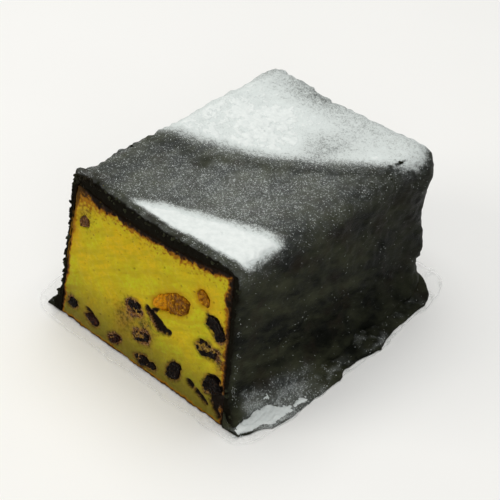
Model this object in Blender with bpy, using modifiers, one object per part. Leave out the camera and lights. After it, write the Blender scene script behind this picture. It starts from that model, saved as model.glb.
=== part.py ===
"""A loaf-shaped fruit cheesecake in chocolate glaze, cut across, on its clear film.

The loaf is baked curd that tapers upwards, as it left its tin. A chocolate glaze covers
the top, the two long sides and the far end, and runs down into an uneven foot. The near
end is the cut: it shows the curd, the glaze round it and the dried fruit in it. The loaf
stands on a sheet of clear film whose crinkled fringe lies just outside the foot.

Units are metres. +Z is up, X runs across the loaf and Y along it. The cut faces -Y. The
origin is at the middle of the film's underside, below the middle of the loaf.
"""

import math
from collections import namedtuple

import bmesh
import bpy
from mathutils import Euler, Matrix, Vector, noise

MM = 0.001

# The loaf of curd.
LOAF_LENGTH = 0.1395
CURD_TOP_WIDTH = 0.0925
CURD_BASE_WIDTH = 0.1035
CURD_HEIGHT = 0.0805
CURD_TOP_DIP = 0.0073
CURD_DIP_X = -0.0080
CURD_EDGE_RADIUS = 0.0030
END_TAPER = 0.0045

# The chocolate glaze on it.
GLAZE_SIDE = 0.0025
GLAZE_TOP = 0.0028
GLAZE_TOP_DIP = 0.0020
GLAZE_END = 0.0030
GLAZE_EDGE_RADIUS = 0.0065
GLAZE_LUMP_HEIGHT = 0.0011
GLAZE_LUMP_WIDTH = 0.0230
GLAZE_RIPPLE_HEIGHT = 0.0006
GLAZE_RIPPLE_WIDTH = 0.0110

# The glaze's foot, and the hollow above it.
FOOT_REACH = 0.0070
FOOT_HEIGHT = 0.0120
FOOT_LUMP_WIDTH = 0.0150
FOOT_LUMP_MEAN = 0.85
FOOT_LUMP_SWING = 1.2
FOOT_LEAST = 0.30
FOOT_MOST = 1.20
FOOT_LIP = 0.25
FOOT_NEAR_SHARE = 0.50
FOOT_NEAR_LENGTH = 0.0500
UNDERCUT_DEPTH = 0.0014
UNDERCUT_LEVEL = 0.0170
UNDERCUT_SPREAD = 0.0080

# The far end bulges under its top edge and draws in above the foot.
END_BULGE = 0.0030
END_BULGE_LEVEL = 0.0730
END_BULGE_SPREAD = 0.0120
END_DEPTH = 0.0200
END_KNOB = 0.0034
END_KNOB_LEVEL = 0.0350
END_KNOB_SPREAD = 0.0050
END_NOTCH_DEPTH = 0.0032
END_NOTCH_X = -0.0090
END_NOTCH_SPREAD = 0.0042
LEFT_BULGE = 0.0024

# The cut, which a knife left slightly rough. It leans, so that its base lies further out.
CUT_LEAN = 0.0045
CRUMB_RELIEF = 0.0005
CRUMB_SIZE = 0.0050
CUT_WAVE = 0.0006
CUT_WAVE_SIZE = 0.0280
CUT_CELL = 0.0042
KNIFE_DEPTH = 0.0200
OVERRUN = 0.0100
FRUIT_PROUD = 0.0004

# The clear film under the loaf.
FILM_THICKNESS = 0.0004
FILM_HALF_WIDTH = 0.0655
FILM_NEAR_REACH = 0.0065
FILM_FAR_REACH = 0.0125
FILM_NARROWING = 0.03
FILM_CORNER_RADIUS = 0.0120
FILM_FRINGE = 0.0046
FILM_FRINGE_RINGS = 3
FILM_POINTS = 80
FILM_CRINKLE_HEIGHT = 0.0026
FILM_CRINKLE_WIDTH = 0.0065
FILM_REACH_SWING = 0.5
FILM_LIFT_MEAN = 0.55
FILM_LIFT_SWING = 0.9

# Neighbours stay this far apart.
GAP = 0.0003
BASE_LEVEL = FILM_THICKNESS + GAP
CUT_Y = -LOAF_LENGTH / 2
FAR_Y = LOAF_LENGTH / 2

# Dried fruit at the cut. Places and sizes are in millimetres on the cut face: across from
# its middle, up from the film, then length, thickness and depth of the fruit, and the tilt
# of its length in degrees, counter-clockwise as seen from in front.
Fruit = namedtuple("Fruit", "name kind across up length thick deep tilt")

FRUITS = [
    Fruit("sultana_large", "sultana", 15.0, 45.5, 26.0, 11.5, 9.0, 28),
    Fruit("sultana_upper_right", "sultana", 31.8, 59.2, 9.8, 7.2, 7.0, -32),
    Fruit("sultana_left_edge", "sultana", -41.5, 58.5, 9.0, 7.0, 6.0, 62),
    Fruit("raisin_right", "raisin", 40.8, 48.9, 16.0, 9.5, 8.0, -42),
    Fruit("raisin_halved", "raisin", 38.0, 34.8, 15.5, 8.5, 8.0, 6),
    Fruit("raisin_middle", "raisin", -6.0, 31.0, 10.5, 7.5, 7.0, 24),
    Fruit("raisin_low_middle", "raisin", -0.5, 17.5, 11.5, 6.0, 6.5, 30),
    Fruit("raisin_upright", "raisin", 21.0, 11.0, 14.0, 8.0, 7.5, 68),
    Fruit("raisin_low_right", "raisin", 43.0, 17.5, 14.0, 10.5, 9.0, 62),
    Fruit("raisin_base", "raisin", 4.0, 5.2, 15.0, 6.0, 8.0, 3),
    Fruit("cranberry_low_left", "cranberry", -31.0, 8.0, 10.5, 5.5, 6.5, -8),
    Fruit("cranberry_base_left", "cranberry", -16.5, 6.0, 9.5, 5.0, 6.0, 32),
    Fruit("raisin_left_foot", "raisin", -45.0, 9.5, 9.5, 6.0, 6.5, 20),
]

# Narrow gaps in the curd where fruit has torn away: the same measures, without a kind.
Slit = namedtuple("Slit", "name across up length thick deep tilt")

SLITS = [
    Slit("slit_middle", 9.0, 31.4, 15.0, 2.8, 5.0, -24),
    Slit("slit_middle_tick", 9.6, 34.4, 6.0, 1.8, 4.0, 82),
    Slit("slit_low_right", 35.2, 8.6, 14.5, 3.0, 5.0, -24),
]

WRINKLE_HEIGHT = {"sultana": 0.10, "raisin": 0.16, "cranberry": 0.12}
WRINKLES_ROUND = {"sultana": 1.9, "raisin": 2.3, "cranberry": 1.7}
FRUIT_FACE = 0.0038
FRUIT_LEAST_AROUND = 10
SLIT_ROUNDS = 2

# Each material: colour (linear red, green, blue), roughness, metallic.
MATERIALS = {
    "baked_curd": ((0.50, 0.38, 0.06), 0.75, 0.0),
    "chocolate": ((0.018, 0.018, 0.013), 0.42, 0.0),
    "sultana": ((0.33, 0.12, 0.015), 0.40, 0.0),
    "raisin": ((0.020, 0.011, 0.010), 0.38, 0.0),
    "cranberry": ((0.09, 0.012, 0.010), 0.36, 0.0),
    "clear_film": ((0.80, 0.82, 0.82), 0.12, 0.0),
}


def clear_scene():
    """Removes every object, so that the model starts from nothing."""
    for obj in list(bpy.data.objects):
        bpy.data.objects.remove(obj, do_unlink=True)


def new_collection(name):
    collection = bpy.data.collections.new(name)
    bpy.context.scene.collection.children.link(collection)
    return collection


def new_material(name):
    colour, roughness, metallic = MATERIALS[name]
    material = bpy.data.materials.new(name)
    material.use_nodes = True
    shader = material.node_tree.nodes["Principled BSDF"]
    shader.inputs["Base Color"].default_value = (*colour, 1.0)
    shader.inputs["Roughness"].default_value = roughness
    shader.inputs["Metallic"].default_value = metallic
    return material


def new_object(name, bm, collection, material=None):
    """Turns a bmesh into an object of triangles, smooth but for its real edges."""
    bmesh.ops.recalc_face_normals(bm, faces=bm.faces)
    bmesh.ops.triangulate(bm, faces=bm.faces)
    mesh = bpy.data.meshes.new(name)
    bm.to_mesh(mesh)
    bm.free()
    mesh.shade_smooth()
    mesh.set_sharp_from_angle(angle=math.radians(40))
    obj = bpy.data.objects.new(name, mesh)
    collection.objects.link(obj)
    if material:
        mesh.materials.append(material)
    return obj


def new_cutter(name, bm, collection):
    cutter = new_object(name, bm, collection)
    cutter.hide_render = True
    cutter.display_type = "WIRE"
    return cutter


def cut(obj, cutter):
    """Takes the cutter's form out of the object."""
    boolean = obj.modifiers.new(cutter.name, "BOOLEAN")
    boolean.operation = "DIFFERENCE"
    boolean.solver = "EXACT"
    boolean.object = cutter


def smooth_step(low, high, value):
    share = min(max((value - low) / (high - low), 0.0), 1.0)
    return share * share * (3 - 2 * share)


def hump(value, middle, spread):
    """A bell of height 1 around the middle."""
    return math.exp(-(((value - middle) / spread) ** 2))


def lumps(point, width, seed):
    """Smooth unevenness from -1 to 1 whose lumps are about as wide as given."""
    return noise.noise(point / width + Vector((seed, 1.7 * seed, 2.3 * seed)))


def even_lines(low, high, cells):
    return [low + (high - low) * i / cells for i in range(cells + 1)]


def edge_lines(low, high, cells, radius, round_low, round_high):
    """Even lines, with two more inside each rounded edge."""
    start = low + radius if round_low else low
    end = high - radius if round_high else high
    lines = even_lines(start, end, cells)
    if round_low:
        lines += [low, low + radius * (1 - math.tan(math.pi / 8))]
    if round_high:
        lines += [high, high - radius * (1 - math.tan(math.pi / 8))]
    return sorted(lines)


def sliced_box(x_lines, y_lines, z_lines):
    """A box whose faces are divided along the given planes."""
    lines = (x_lines, y_lines, z_lines)
    size = [axis[-1] - axis[0] for axis in lines]
    middle = [(axis[-1] + axis[0]) / 2 for axis in lines]
    bm = bmesh.new()
    bmesh.ops.create_cube(bm, size=1.0)
    bmesh.ops.scale(bm, vec=size, verts=bm.verts)
    bmesh.ops.translate(bm, vec=middle, verts=bm.verts)
    for axis, planes in enumerate(lines):
        normal = Vector((0, 0, 0))
        normal[axis] = 1.0
        for plane in planes[1:-1]:
            everything = bm.verts[:] + bm.edges[:] + bm.faces[:]
            bmesh.ops.bisect_plane(bm, geom=everything, plane_co=normal * plane, plane_no=normal)
    return bm


def round_off(point, half_width, far, top, radius):
    """Rounds the top edges and the far edges of a box; its base and near end stay square.

    A point that lies past the flat part by a square's reach is drawn in to the circle's.
    """
    flat = Vector((
        min(max(point.x, radius - half_width), half_width - radius),
        min(point.y, far - radius),
        min(point.z, top - radius),
    ))
    over = point - flat
    reach = max(abs(over.x), abs(over.y), abs(over.z))
    return flat + over.normalized() * reach


def push_out(bm, distance):
    """Moves a closed mesh's faces outwards by the distance."""
    bm.normal_update()
    moved = [(v, v.co + v.normal * distance * v.calc_shell_factor()) for v in bm.verts]
    for vert, place in moved:
        vert.co = place


def tapered(point, base_width, top_width, height):
    """Widens a box with upright sides towards its base, and lengthens it at its far end."""
    share = 1 - point.z / height
    along = max(point.y - CUT_Y, 0) / LOAF_LENGTH
    x = point.x * (1 + share * (base_width / top_width - 1))
    return Vector((x, point.y + END_TAPER * share * along, point.z))


def curd_form(margin):
    """The loaf of curd before it is cut, a margin larger on every side.

    With a margin it is the hollow in the glaze, so it then runs on down through the base.
    """
    half = CURD_TOP_WIDTH / 2
    x_lines = edge_lines(-half, half, 7, CURD_EDGE_RADIUS, True, True)
    y_lines = edge_lines(CUT_Y - OVERRUN, FAR_Y - GLAZE_END, 5, CURD_EDGE_RADIUS, False, True)
    z_lines = edge_lines(0, CURD_HEIGHT, 5, CURD_EDGE_RADIUS, False, True)
    if margin:
        z_lines.insert(0, -OVERRUN)
    bm = sliced_box(x_lines, y_lines, z_lines)
    for vert in bm.verts:
        point = round_off(vert.co, half, y_lines[-1], CURD_HEIGHT, CURD_EDGE_RADIUS)
        aside = (point.x - CURD_DIP_X) / (half - CURD_DIP_X)
        point.z -= CURD_TOP_DIP * (1 - aside ** 2) * smooth_step(0.6, 1.0, point.z / CURD_HEIGHT)
        vert.co = tapered(point, CURD_BASE_WIDTH, CURD_TOP_WIDTH, CURD_HEIGHT)
    if margin:
        push_out(bm, margin)
    bmesh.ops.translate(bm, vec=(0, 0, BASE_LEVEL), verts=bm.verts)
    return bm


def foot_reach(point, height):
    """How far the glaze runs out at a level above the base, in uneven lumps.

    It runs out less next to the cut.
    """
    low = 1 - smooth_step(FOOT_LIP, 1.0, height / FOOT_HEIGHT)
    lump = FOOT_LUMP_MEAN + FOOT_LUMP_SWING * lumps(Vector((point.x, point.y, 0)), FOOT_LUMP_WIDTH, 4.0)
    grown = smooth_step(CUT_Y, CUT_Y + FOOT_NEAR_LENGTH, point.y)
    near = FOOT_NEAR_SHARE + (1 - FOOT_NEAR_SHARE) * grown
    return FOOT_REACH * low * near * min(max(lump, FOOT_LEAST), FOOT_MOST)


def end_profile(point):
    """How far the far end stands out beyond a plain end."""
    z = point.z
    out = END_BULGE * hump(z, END_BULGE_LEVEL, END_BULGE_SPREAD)
    out += END_KNOB * hump(z, END_KNOB_LEVEL, END_KNOB_SPREAD) * smooth_step(0, 0.03, point.x)
    out -= END_NOTCH_DEPTH * hump(point.x, END_NOTCH_X, END_NOTCH_SPREAD) * smooth_step(0.06, 0.075, z)
    return out


def glaze_form():
    """The outside of the glazed loaf before it is cut."""
    half = CURD_TOP_WIDTH / 2 + GLAZE_SIDE
    top = CURD_HEIGHT + GLAZE_TOP
    radius = GLAZE_EDGE_RADIUS
    x_lines = edge_lines(-half, half, 12, radius, True, True)
    y_lines = edge_lines(CUT_Y - OVERRUN, FAR_Y, 19, radius, False, True)
    z_lines = sorted(edge_lines(0, top, 10, radius, False, True) + [0.35 * FOOT_HEIGHT])
    bm = sliced_box(x_lines, y_lines, z_lines)
    base_width = CURD_BASE_WIDTH + 2 * GLAZE_SIDE
    for vert in bm.verts:
        point = round_off(vert.co, half, FAR_Y, top, radius)
        point.z -= GLAZE_TOP_DIP * (1 - (point.x / half) ** 2) * smooth_step(0.8, 1.0, point.z / top)
        vert.co = tapered(point, base_width, 2 * half, top)
    bm.normal_update()
    outward = {vert: vert.normal.copy() for vert in bm.verts}
    for vert in bm.verts:
        place = vert.co.copy()
        wall = Vector((outward[vert].x, outward[vert].y, 0))
        side = wall.normalized() if wall.length > 0.3 else Vector((0, 0, 0))
        on_end = smooth_step(FAR_Y - END_DEPTH, FAR_Y, place.y)
        out = foot_reach(place, place.z)
        out -= UNDERCUT_DEPTH * hump(place.z, UNDERCUT_LEVEL, UNDERCUT_SPREAD)
        uneven = GLAZE_LUMP_HEIGHT * lumps(place, GLAZE_LUMP_WIDTH, 1.0)
        uneven += GLAZE_RIPPLE_HEIGHT * lumps(place, GLAZE_RIPPLE_WIDTH, 2.0)
        new = place + side * out + outward[vert] * uneven
        new.y += on_end * end_profile(place)
        if place.x < 0:
            new.x -= LEFT_BULGE * smooth_step(-0.005, 0.02, place.y) * smooth_step(0.04, 0.075, place.z)
        if place.z < MM:
            new.z = 0
        vert.co = new
    bmesh.ops.translate(bm, vec=(0, 0, BASE_LEVEL), verts=bm.verts)
    return bm


def cut_plane(z):
    """Where the cut lies along the loaf at a level."""
    return CUT_Y - CUT_LEAN * (1 - z / CURD_HEIGHT)


def cut_relief(x, z):
    """How far the cut surface stands out of its plane at a place on the section."""
    place = Vector((x, 0, z))
    return CRUMB_RELIEF * lumps(place, CRUMB_SIZE, 7.0) + CUT_WAVE * lumps(place, CUT_WAVE_SIZE, 8.0)


def knife_form(proud):
    """The block that is cut away in front of the section, a little further out if proud."""
    half = CURD_BASE_WIDTH / 2 + 0.015
    high = CURD_HEIGHT + 0.018
    x_lines = even_lines(-half, half, round(2 * half / CUT_CELL))
    z_lines = even_lines(-0.012, high, round((high + 0.012) / CUT_CELL))
    bm = sliced_box(x_lines, [CUT_Y - KNIFE_DEPTH, CUT_Y], z_lines)
    for vert in bm.verts:
        if vert.co.y > CUT_Y - KNIFE_DEPTH / 2:
            vert.co.y = cut_plane(vert.co.z) - proud - cut_relief(vert.co.x, vert.co.z)
    return bm


def lying_at(across, up, tilt):
    """The place on the section of a fruit or slit, with its length turned by the tilt."""
    level = BASE_LEVEL + up * MM
    place = Matrix.Translation((across * MM, cut_plane(level), level))
    return place @ Euler((0, math.radians(-tilt), 0)).to_matrix().to_4x4()


def fruit_form(fruit, seed, margin):
    """A dried fruit as a wrinkled egg, its middle a little behind the cut."""
    bm = bmesh.new()
    girth = math.pi * (fruit.length + fruit.thick) / 2 * MM
    around = max(round(girth / FRUIT_FACE), FRUIT_LEAST_AROUND)
    bmesh.ops.create_uvsphere(bm, u_segments=around, v_segments=around // 2 + 1, radius=0.5)
    height = WRINKLE_HEIGHT[fruit.kind]
    count = WRINKLES_ROUND[fruit.kind]
    for vert in bm.verts:
        way = vert.co.normalized()
        folds = 1 - abs(noise.noise(way * count + Vector((seed, 0, 2 * seed)))) * 2
        swell = noise.noise(way * 1.1 + Vector((3 * seed, seed, 0)))
        vert.co *= 1 - height * folds + 0.25 * swell
    bmesh.ops.scale(bm, vec=(fruit.length * MM, fruit.deep * MM, fruit.thick * MM), verts=bm.verts)
    if margin:
        push_out(bm, margin)
    bmesh.ops.translate(bm, vec=(0, 0.1 * fruit.deep * MM, 0), verts=bm.verts)
    bm.transform(lying_at(fruit.across, fruit.up, fruit.tilt))
    return bm


def slit_form(slit):
    """A flat lens that opens at the cut."""
    bm = bmesh.new()
    bmesh.ops.create_icosphere(bm, subdivisions=SLIT_ROUNDS, radius=0.5)
    bmesh.ops.scale(bm, vec=(slit.length * MM, 2 * slit.deep * MM, slit.thick * MM), verts=bm.verts)
    bm.transform(lying_at(slit.across, slit.up, slit.tilt))
    return bm


def outline_point(share, half_x, half_y, radius):
    """A point a share of the way round a rounded rectangle, and the way out from it."""
    straight_x = 2 * (half_x - radius)
    straight_y = 2 * (half_y - radius)
    arc = math.pi * radius / 2
    length = share * (2 * straight_x + 2 * straight_y + 4 * arc)
    corners = [(1, -1, -90), (1, 1, 0), (-1, 1, 90), (-1, -1, 180)]
    for index, (side_x, side_y, angle) in enumerate(corners):
        straight = straight_x if index % 2 == 0 else straight_y
        centre = Vector((side_x * (half_x - radius), side_y * (half_y - radius), 0))
        start = math.radians(angle)
        if length < straight:
            along = Vector((-math.sin(start), math.cos(start), 0))
            out = Vector((math.cos(start), math.sin(start), 0))
            return centre + out * radius - along * (straight - length), out
        length -= straight
        if length < arc:
            turn = start + length / radius
            out = Vector((math.cos(turn), math.sin(turn), 0))
            return centre + out * radius, out
        length -= arc
    return outline_point(0, half_x, half_y, radius)


def film_form():
    """The film: flat under the loaf, with a crinkled fringe that lifts outside the foot."""
    near = CUT_Y - FILM_NEAR_REACH
    far = FAR_Y + FILM_FAR_REACH
    middle = Vector((0, (near + far) / 2, 0))
    bm = bmesh.new()
    ring = bmesh.ops.create_circle(bm, cap_ends=True, segments=FILM_POINTS)["verts"]
    ways = {}
    for index, vert in enumerate(ring):
        place, out = outline_point(index / FILM_POINTS, FILM_HALF_WIDTH, (far - near) / 2, FILM_CORNER_RADIUS)
        vert.co = place + middle
        vert.co.x *= 1 - FILM_NARROWING * (vert.co.y - near) / (far - near)
        ways[vert] = out
    edges = [edge for edge in bm.edges if edge.is_boundary]
    for number in range(FILM_FRINGE_RINGS):
        result = bmesh.ops.extrude_edge_only(bm, edges=edges)["geom"]
        edges = [item for item in result if isinstance(item, bmesh.types.BMEdge) and item.is_boundary]
        fresh = [item for item in result if isinstance(item, bmesh.types.BMVert)]
        new_ways = {}
        for vert in fresh:
            old = min(ways, key=lambda known: (known.co - vert.co).length)
            new_ways[vert] = ways[old]
        for vert, out in new_ways.items():
            edge = vert.co.copy()
            edge.z = 0
            reach = 1 + FILM_REACH_SWING * lumps(edge, 2 * FILM_CRINKLE_WIDTH, 11.0)
            lift = FILM_LIFT_MEAN + FILM_LIFT_SWING * lumps(edge, FILM_CRINKLE_WIDTH, 12.0)
            vert.co += out * FILM_FRINGE / FILM_FRINGE_RINGS * reach
            share = (number + 1) / FILM_FRINGE_RINGS
            vert.co.z = FILM_CRINKLE_HEIGHT * share * max(lift, 0.0)
        ways = new_ways
    return bm


def build():
    clear_scene()
    parts = new_collection("glazed_fruit_cheesecake")
    cutters = new_collection("cutters")
    materials = {name: new_material(name) for name in MATERIALS}

    knife = new_cutter("knife", knife_form(0), cutters)
    fruit_knife = new_cutter("knife_fruit", knife_form(FRUIT_PROUD), cutters)
    hollow = new_cutter("hollow_for_curd", curd_form(GAP), cutters)

    glaze = new_object("chocolate_glaze", glaze_form(), parts, materials["chocolate"])
    cut(glaze, hollow)
    cut(glaze, knife)

    curd = new_object("curd", curd_form(0), parts, materials["baked_curd"])
    cut(curd, knife)
    for slit in SLITS:
        cut(curd, new_cutter(slit.name, slit_form(slit), cutters))

    for index, fruit in enumerate(FRUITS):
        seed = 5.0 + 3.1 * index
        body = new_object(fruit.name, fruit_form(fruit, seed, 0), parts, materials[fruit.kind])
        cut(body, fruit_knife)
        pocket = new_cutter("pocket_" + fruit.name, fruit_form(fruit, seed, GAP), cutters)
        cut(curd, pocket)

    film = new_object("film_liner", film_form(), parts, materials["clear_film"])
    wall = film.modifiers.new("film_wall", "SOLIDIFY")
    wall.thickness = FILM_THICKNESS
    wall.offset = -1.0


build()
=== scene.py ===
# %% [markdown]
# # A glazed fruit cheesecake, cut across
# The cake is a loaf of baked curd with dried fruit in it. It was baked in a tin, turned out and
# coated with dark chocolate, which ran down into an uneven foot. Icing sugar was sifted over
# it, it stands on clear film, and a knife has opened its near end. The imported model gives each
# solid at its true size and place, so this lesson loads it first and dresses each solid in turn.

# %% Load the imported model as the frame
import math
from functools import partial

import bmesh
import bpy
import numpy as np
from mathutils import Matrix, Vector, noise
from mathutils.bvhtree import BVHTree


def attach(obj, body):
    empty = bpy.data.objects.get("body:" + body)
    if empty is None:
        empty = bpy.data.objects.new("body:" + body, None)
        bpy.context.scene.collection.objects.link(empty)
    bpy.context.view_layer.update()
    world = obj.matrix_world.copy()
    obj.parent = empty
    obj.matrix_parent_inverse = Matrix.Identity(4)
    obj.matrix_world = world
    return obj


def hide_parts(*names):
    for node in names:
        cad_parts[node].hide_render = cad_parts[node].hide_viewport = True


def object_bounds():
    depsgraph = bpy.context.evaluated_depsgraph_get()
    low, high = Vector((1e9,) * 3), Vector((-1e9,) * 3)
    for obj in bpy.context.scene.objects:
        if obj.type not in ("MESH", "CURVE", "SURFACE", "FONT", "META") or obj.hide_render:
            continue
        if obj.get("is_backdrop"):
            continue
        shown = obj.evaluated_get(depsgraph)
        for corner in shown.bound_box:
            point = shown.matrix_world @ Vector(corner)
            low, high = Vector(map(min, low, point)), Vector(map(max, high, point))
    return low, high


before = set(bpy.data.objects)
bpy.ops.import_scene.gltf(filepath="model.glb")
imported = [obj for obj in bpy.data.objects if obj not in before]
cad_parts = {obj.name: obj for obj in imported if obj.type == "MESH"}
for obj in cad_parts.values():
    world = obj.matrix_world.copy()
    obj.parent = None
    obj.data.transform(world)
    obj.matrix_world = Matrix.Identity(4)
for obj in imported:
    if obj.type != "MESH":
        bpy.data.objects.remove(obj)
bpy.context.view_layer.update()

# %% [markdown]
# ## Sizes
# Everything is in metres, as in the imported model: +Z is up, X runs across the loaf and Y along
# it. The loaf's main sizes are repeated here, so that the fine surfaces follow the same rules
# as the solids: a block that widens downwards, a dipped top, and a cut that leans a little.

# %% The loaf's main sizes
MM = 0.001
LENGTH = 139.5 * MM
CURD_TOP_WIDTH = 92.5 * MM
CURD_BASE_WIDTH = 103.5 * MM
CURD_HEIGHT = 80.5 * MM
CURD_DIP = 7.3 * MM
CURD_DIP_X = -8.0 * MM
GLAZE_TOP_HALF = 48.75 * MM
GLAZE_BASE_HALF = 54.25 * MM
GLAZE_HEIGHT = 83.3 * MM
FAR_TAPER = 4.5 * MM
CUT_LEAN = 4.5 * MM
BASE_LEVEL = 0.7 * MM
CUT_Y = -LENGTH / 2
FAR_Y = LENGTH / 2


def cut_plane(z):
    """Where the cut lies along the loaf at a level."""
    return CUT_Y - CUT_LEAN * (1 - z / CURD_HEIGHT)


print("cut at the top and at the base, mm:", [round(1000 * cut_plane(z), 1) for z in (CURD_HEIGHT, 0)])

# %% [markdown]
# ## Helpers
# A few short functions serve every piece. One gives smooth steps between two values, one reads
# smooth noise at many points, and one turns lists of corners and faces into an object whose
# place is in its mesh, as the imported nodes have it.

# %% Number helpers
def ease(low, high, value):
    """A smooth step from 0 to 1 as the value goes from low to high."""
    share = np.clip((value - low) / (high - low), 0.0, 1.0)
    return share * share * (3 - 2 * share)


def bell(value, middle, spread):
    """A smooth hump: 1 at the middle, and about a third of that one spread away."""
    return np.exp(-(((value - middle) / spread) ** 2))


def blob(u, v, middle_u, middle_v, half_u, half_v):
    """A hump over two values, with its own half width in each."""
    return bell(np.hypot((u - middle_u) / half_u, (v - middle_v) / half_v), 0, 1.0)


def rough(points, width, seed):
    """Smooth noise from -1 to 1 at each point, with lumps about as wide as given, in mm."""
    shifted = np.asarray(points) / (width * MM) + np.array([seed, 1.7 * seed, 2.3 * seed])
    return np.array([noise.noise(place) for place in shifted.tolist()])


print("step at the middle:", float(ease(0, 1, 0.5)))

# %% Mesh helpers
def put(name, data):
    """Puts a mesh, a light or a camera into the scene as an object."""
    thing = bpy.data.objects.new(name, data)
    bpy.context.scene.collection.objects.link(thing)
    return thing


def set_values(mesh, values):
    """Stores named values at the corners of a mesh, for its finish or a node tree to read."""
    for name, numbers in values.items():
        layer = mesh.attributes.new(name, "FLOAT", "POINT")
        layer.data.foreach_set("value", np.asarray(numbers, np.float32))


def new_mesh(name, points, faces, values=None):
    """A mesh from points and faces, with named values at its corners if given."""
    mesh = bpy.data.meshes.new(name)
    mesh.from_pydata(np.asarray(points).tolist(), [], faces)
    set_values(mesh, values or {})
    return mesh


def new_piece(name, points, faces, finish, values=None):
    """A smooth object at the origin from corners and faces."""
    mesh = new_mesh(name, points, faces, values)
    mesh.materials.append(finish)
    mesh.shade_smooth()
    return put(name, mesh)


def net_faces(rows, columns, first=0, wrap=(0, 0), turned=False):
    """Four-sided faces over a net of corners, row by row. A wrap joins the last row or the last
    column to its first one, and turned faces look the other way."""
    row, column = np.mgrid[:rows - 1 + wrap[0], :columns - 1 + wrap[1]]
    next_row, next_column = (row + 1) % rows, (column + 1) % columns
    ring = [row * columns + column, next_row * columns + column,
            next_row * columns + next_column, row * columns + next_column]
    if turned:
        ring = [ring[0], *ring[:0:-1]]
    return (first + np.stack(ring, -1).reshape(-1, 4)).tolist()


def corners(mesh):
    """The places of a mesh's corners, one row for each."""
    flat = np.empty(len(mesh.vertices) * 3, np.float32)
    mesh.vertices.foreach_get("co", flat)
    return flat.reshape(-1, 3).astype(float)


def move_corners(mesh, places):
    """Puts the corners of a mesh in new places."""
    mesh.vertices.foreach_set("co", places.ravel().astype(np.float32))
    mesh.update()


def finder(*pieces):
    """A search tree over the faces of some objects, to cast rays at them."""
    points, faces = [], []
    for piece in pieces:
        start = len(points)
        points += [v.co.copy() for v in piece.data.vertices]
        faces += [[start + i for i in face.vertices] for face in piece.data.polygons]
    return BVHTree.FromPolygons(points, faces)


cad_glaze = finder(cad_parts["chocolate_glaze"])
cad_curd = finder(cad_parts["curd"])
fruit_names = sorted(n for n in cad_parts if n.split("_")[0] in ("sultana", "raisin", "cranberry"))
print("fruit:", len(fruit_names))

# %% Node helper
def linear(code):
    """An sRGB hex colour as linear red, green, blue and alpha."""
    parts = [int(code[i:i + 2], 16) / 255 for i in (1, 3, 5)]
    return (*[c / 12.92 if c <= 0.04045 else ((c + 0.055) / 1.055) ** 2.4 for c in parts], 1.0)


def add_to(tree, kind, sockets=(), **settings):
    """Adds a node with its settings. A kind without a family is a shader's. The sockets are given
    in their order, or by name or number. Each takes a value, the hex code of a colour, a socket to
    link, or a node, which stands for the first of its outputs that is in use."""
    has_family = kind.startswith(("Geometry", "Function", "NodeGroup"))
    node = tree.nodes.new(kind if has_family else "ShaderNode" + kind)
    for name, value in settings.items():
        setattr(node, name, value)
    for key, value in sockets.items() if isinstance(sockets, dict) else enumerate(sockets):
        if isinstance(value, bpy.types.Node):
            value = next(output for output in value.outputs if output.enabled)
        if isinstance(value, bpy.types.NodeSocket):
            tree.links.new(value, node.inputs[key])
        else:
            is_colour = isinstance(value, str) and value.startswith("#")
            node.inputs[key].default_value = linear(value) if is_colour else value
    return node


def lay_colours(add, body, layers, curve="LINEAR"):
    """Lays colours over a first one. Each layer has the pattern that it follows, the pattern's
    values where it starts and where it is full, how far it covers there, and its colour."""
    for pattern, start, full, most, tone in layers:
        share = add("MapRange", {
            "Value": pattern, "From Min": start, "From Max": full, "To Max": most}, interpolation_type=curve)
        body = add("Mix", {0: share, 6: body, 7: tone}, data_type="RGBA")
    return body


def per(size):
    """The scale of a pattern whose cells are to be as large as given, in metres."""
    return 1.0 / size


def new_finish(name, *values):
    """An empty material, a function that adds nodes to it, the place on the piece, and values
    that its mesh carries."""
    finish = bpy.data.materials.new(name)
    finish.use_nodes = True
    finish.node_tree.nodes.clear()
    add = partial(add_to, finish.node_tree)
    place = add("TexCoord").outputs["Object"]
    carried = [add("Attribute", attribute_name=value).outputs["Fac"] for value in values]
    return finish, add, place, *carried


print("mid grey is", round(linear("#808080")[0], 3))

# %% [markdown]
# ## Finish: baked curd under the knife
# The curd is a moist, close crumb. The knife leaves it matt with small bright grains, and light
# goes a little way in. It is yellow in the middle, warmer towards the crust, and browned to
# dark caramel in the last millimetres. Values on the mesh say how browned each place is, how
# stained or ambered by fruit, and how pitted or torn, because all of these follow the shape.
# Noise in millimetres breaks them up.

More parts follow.
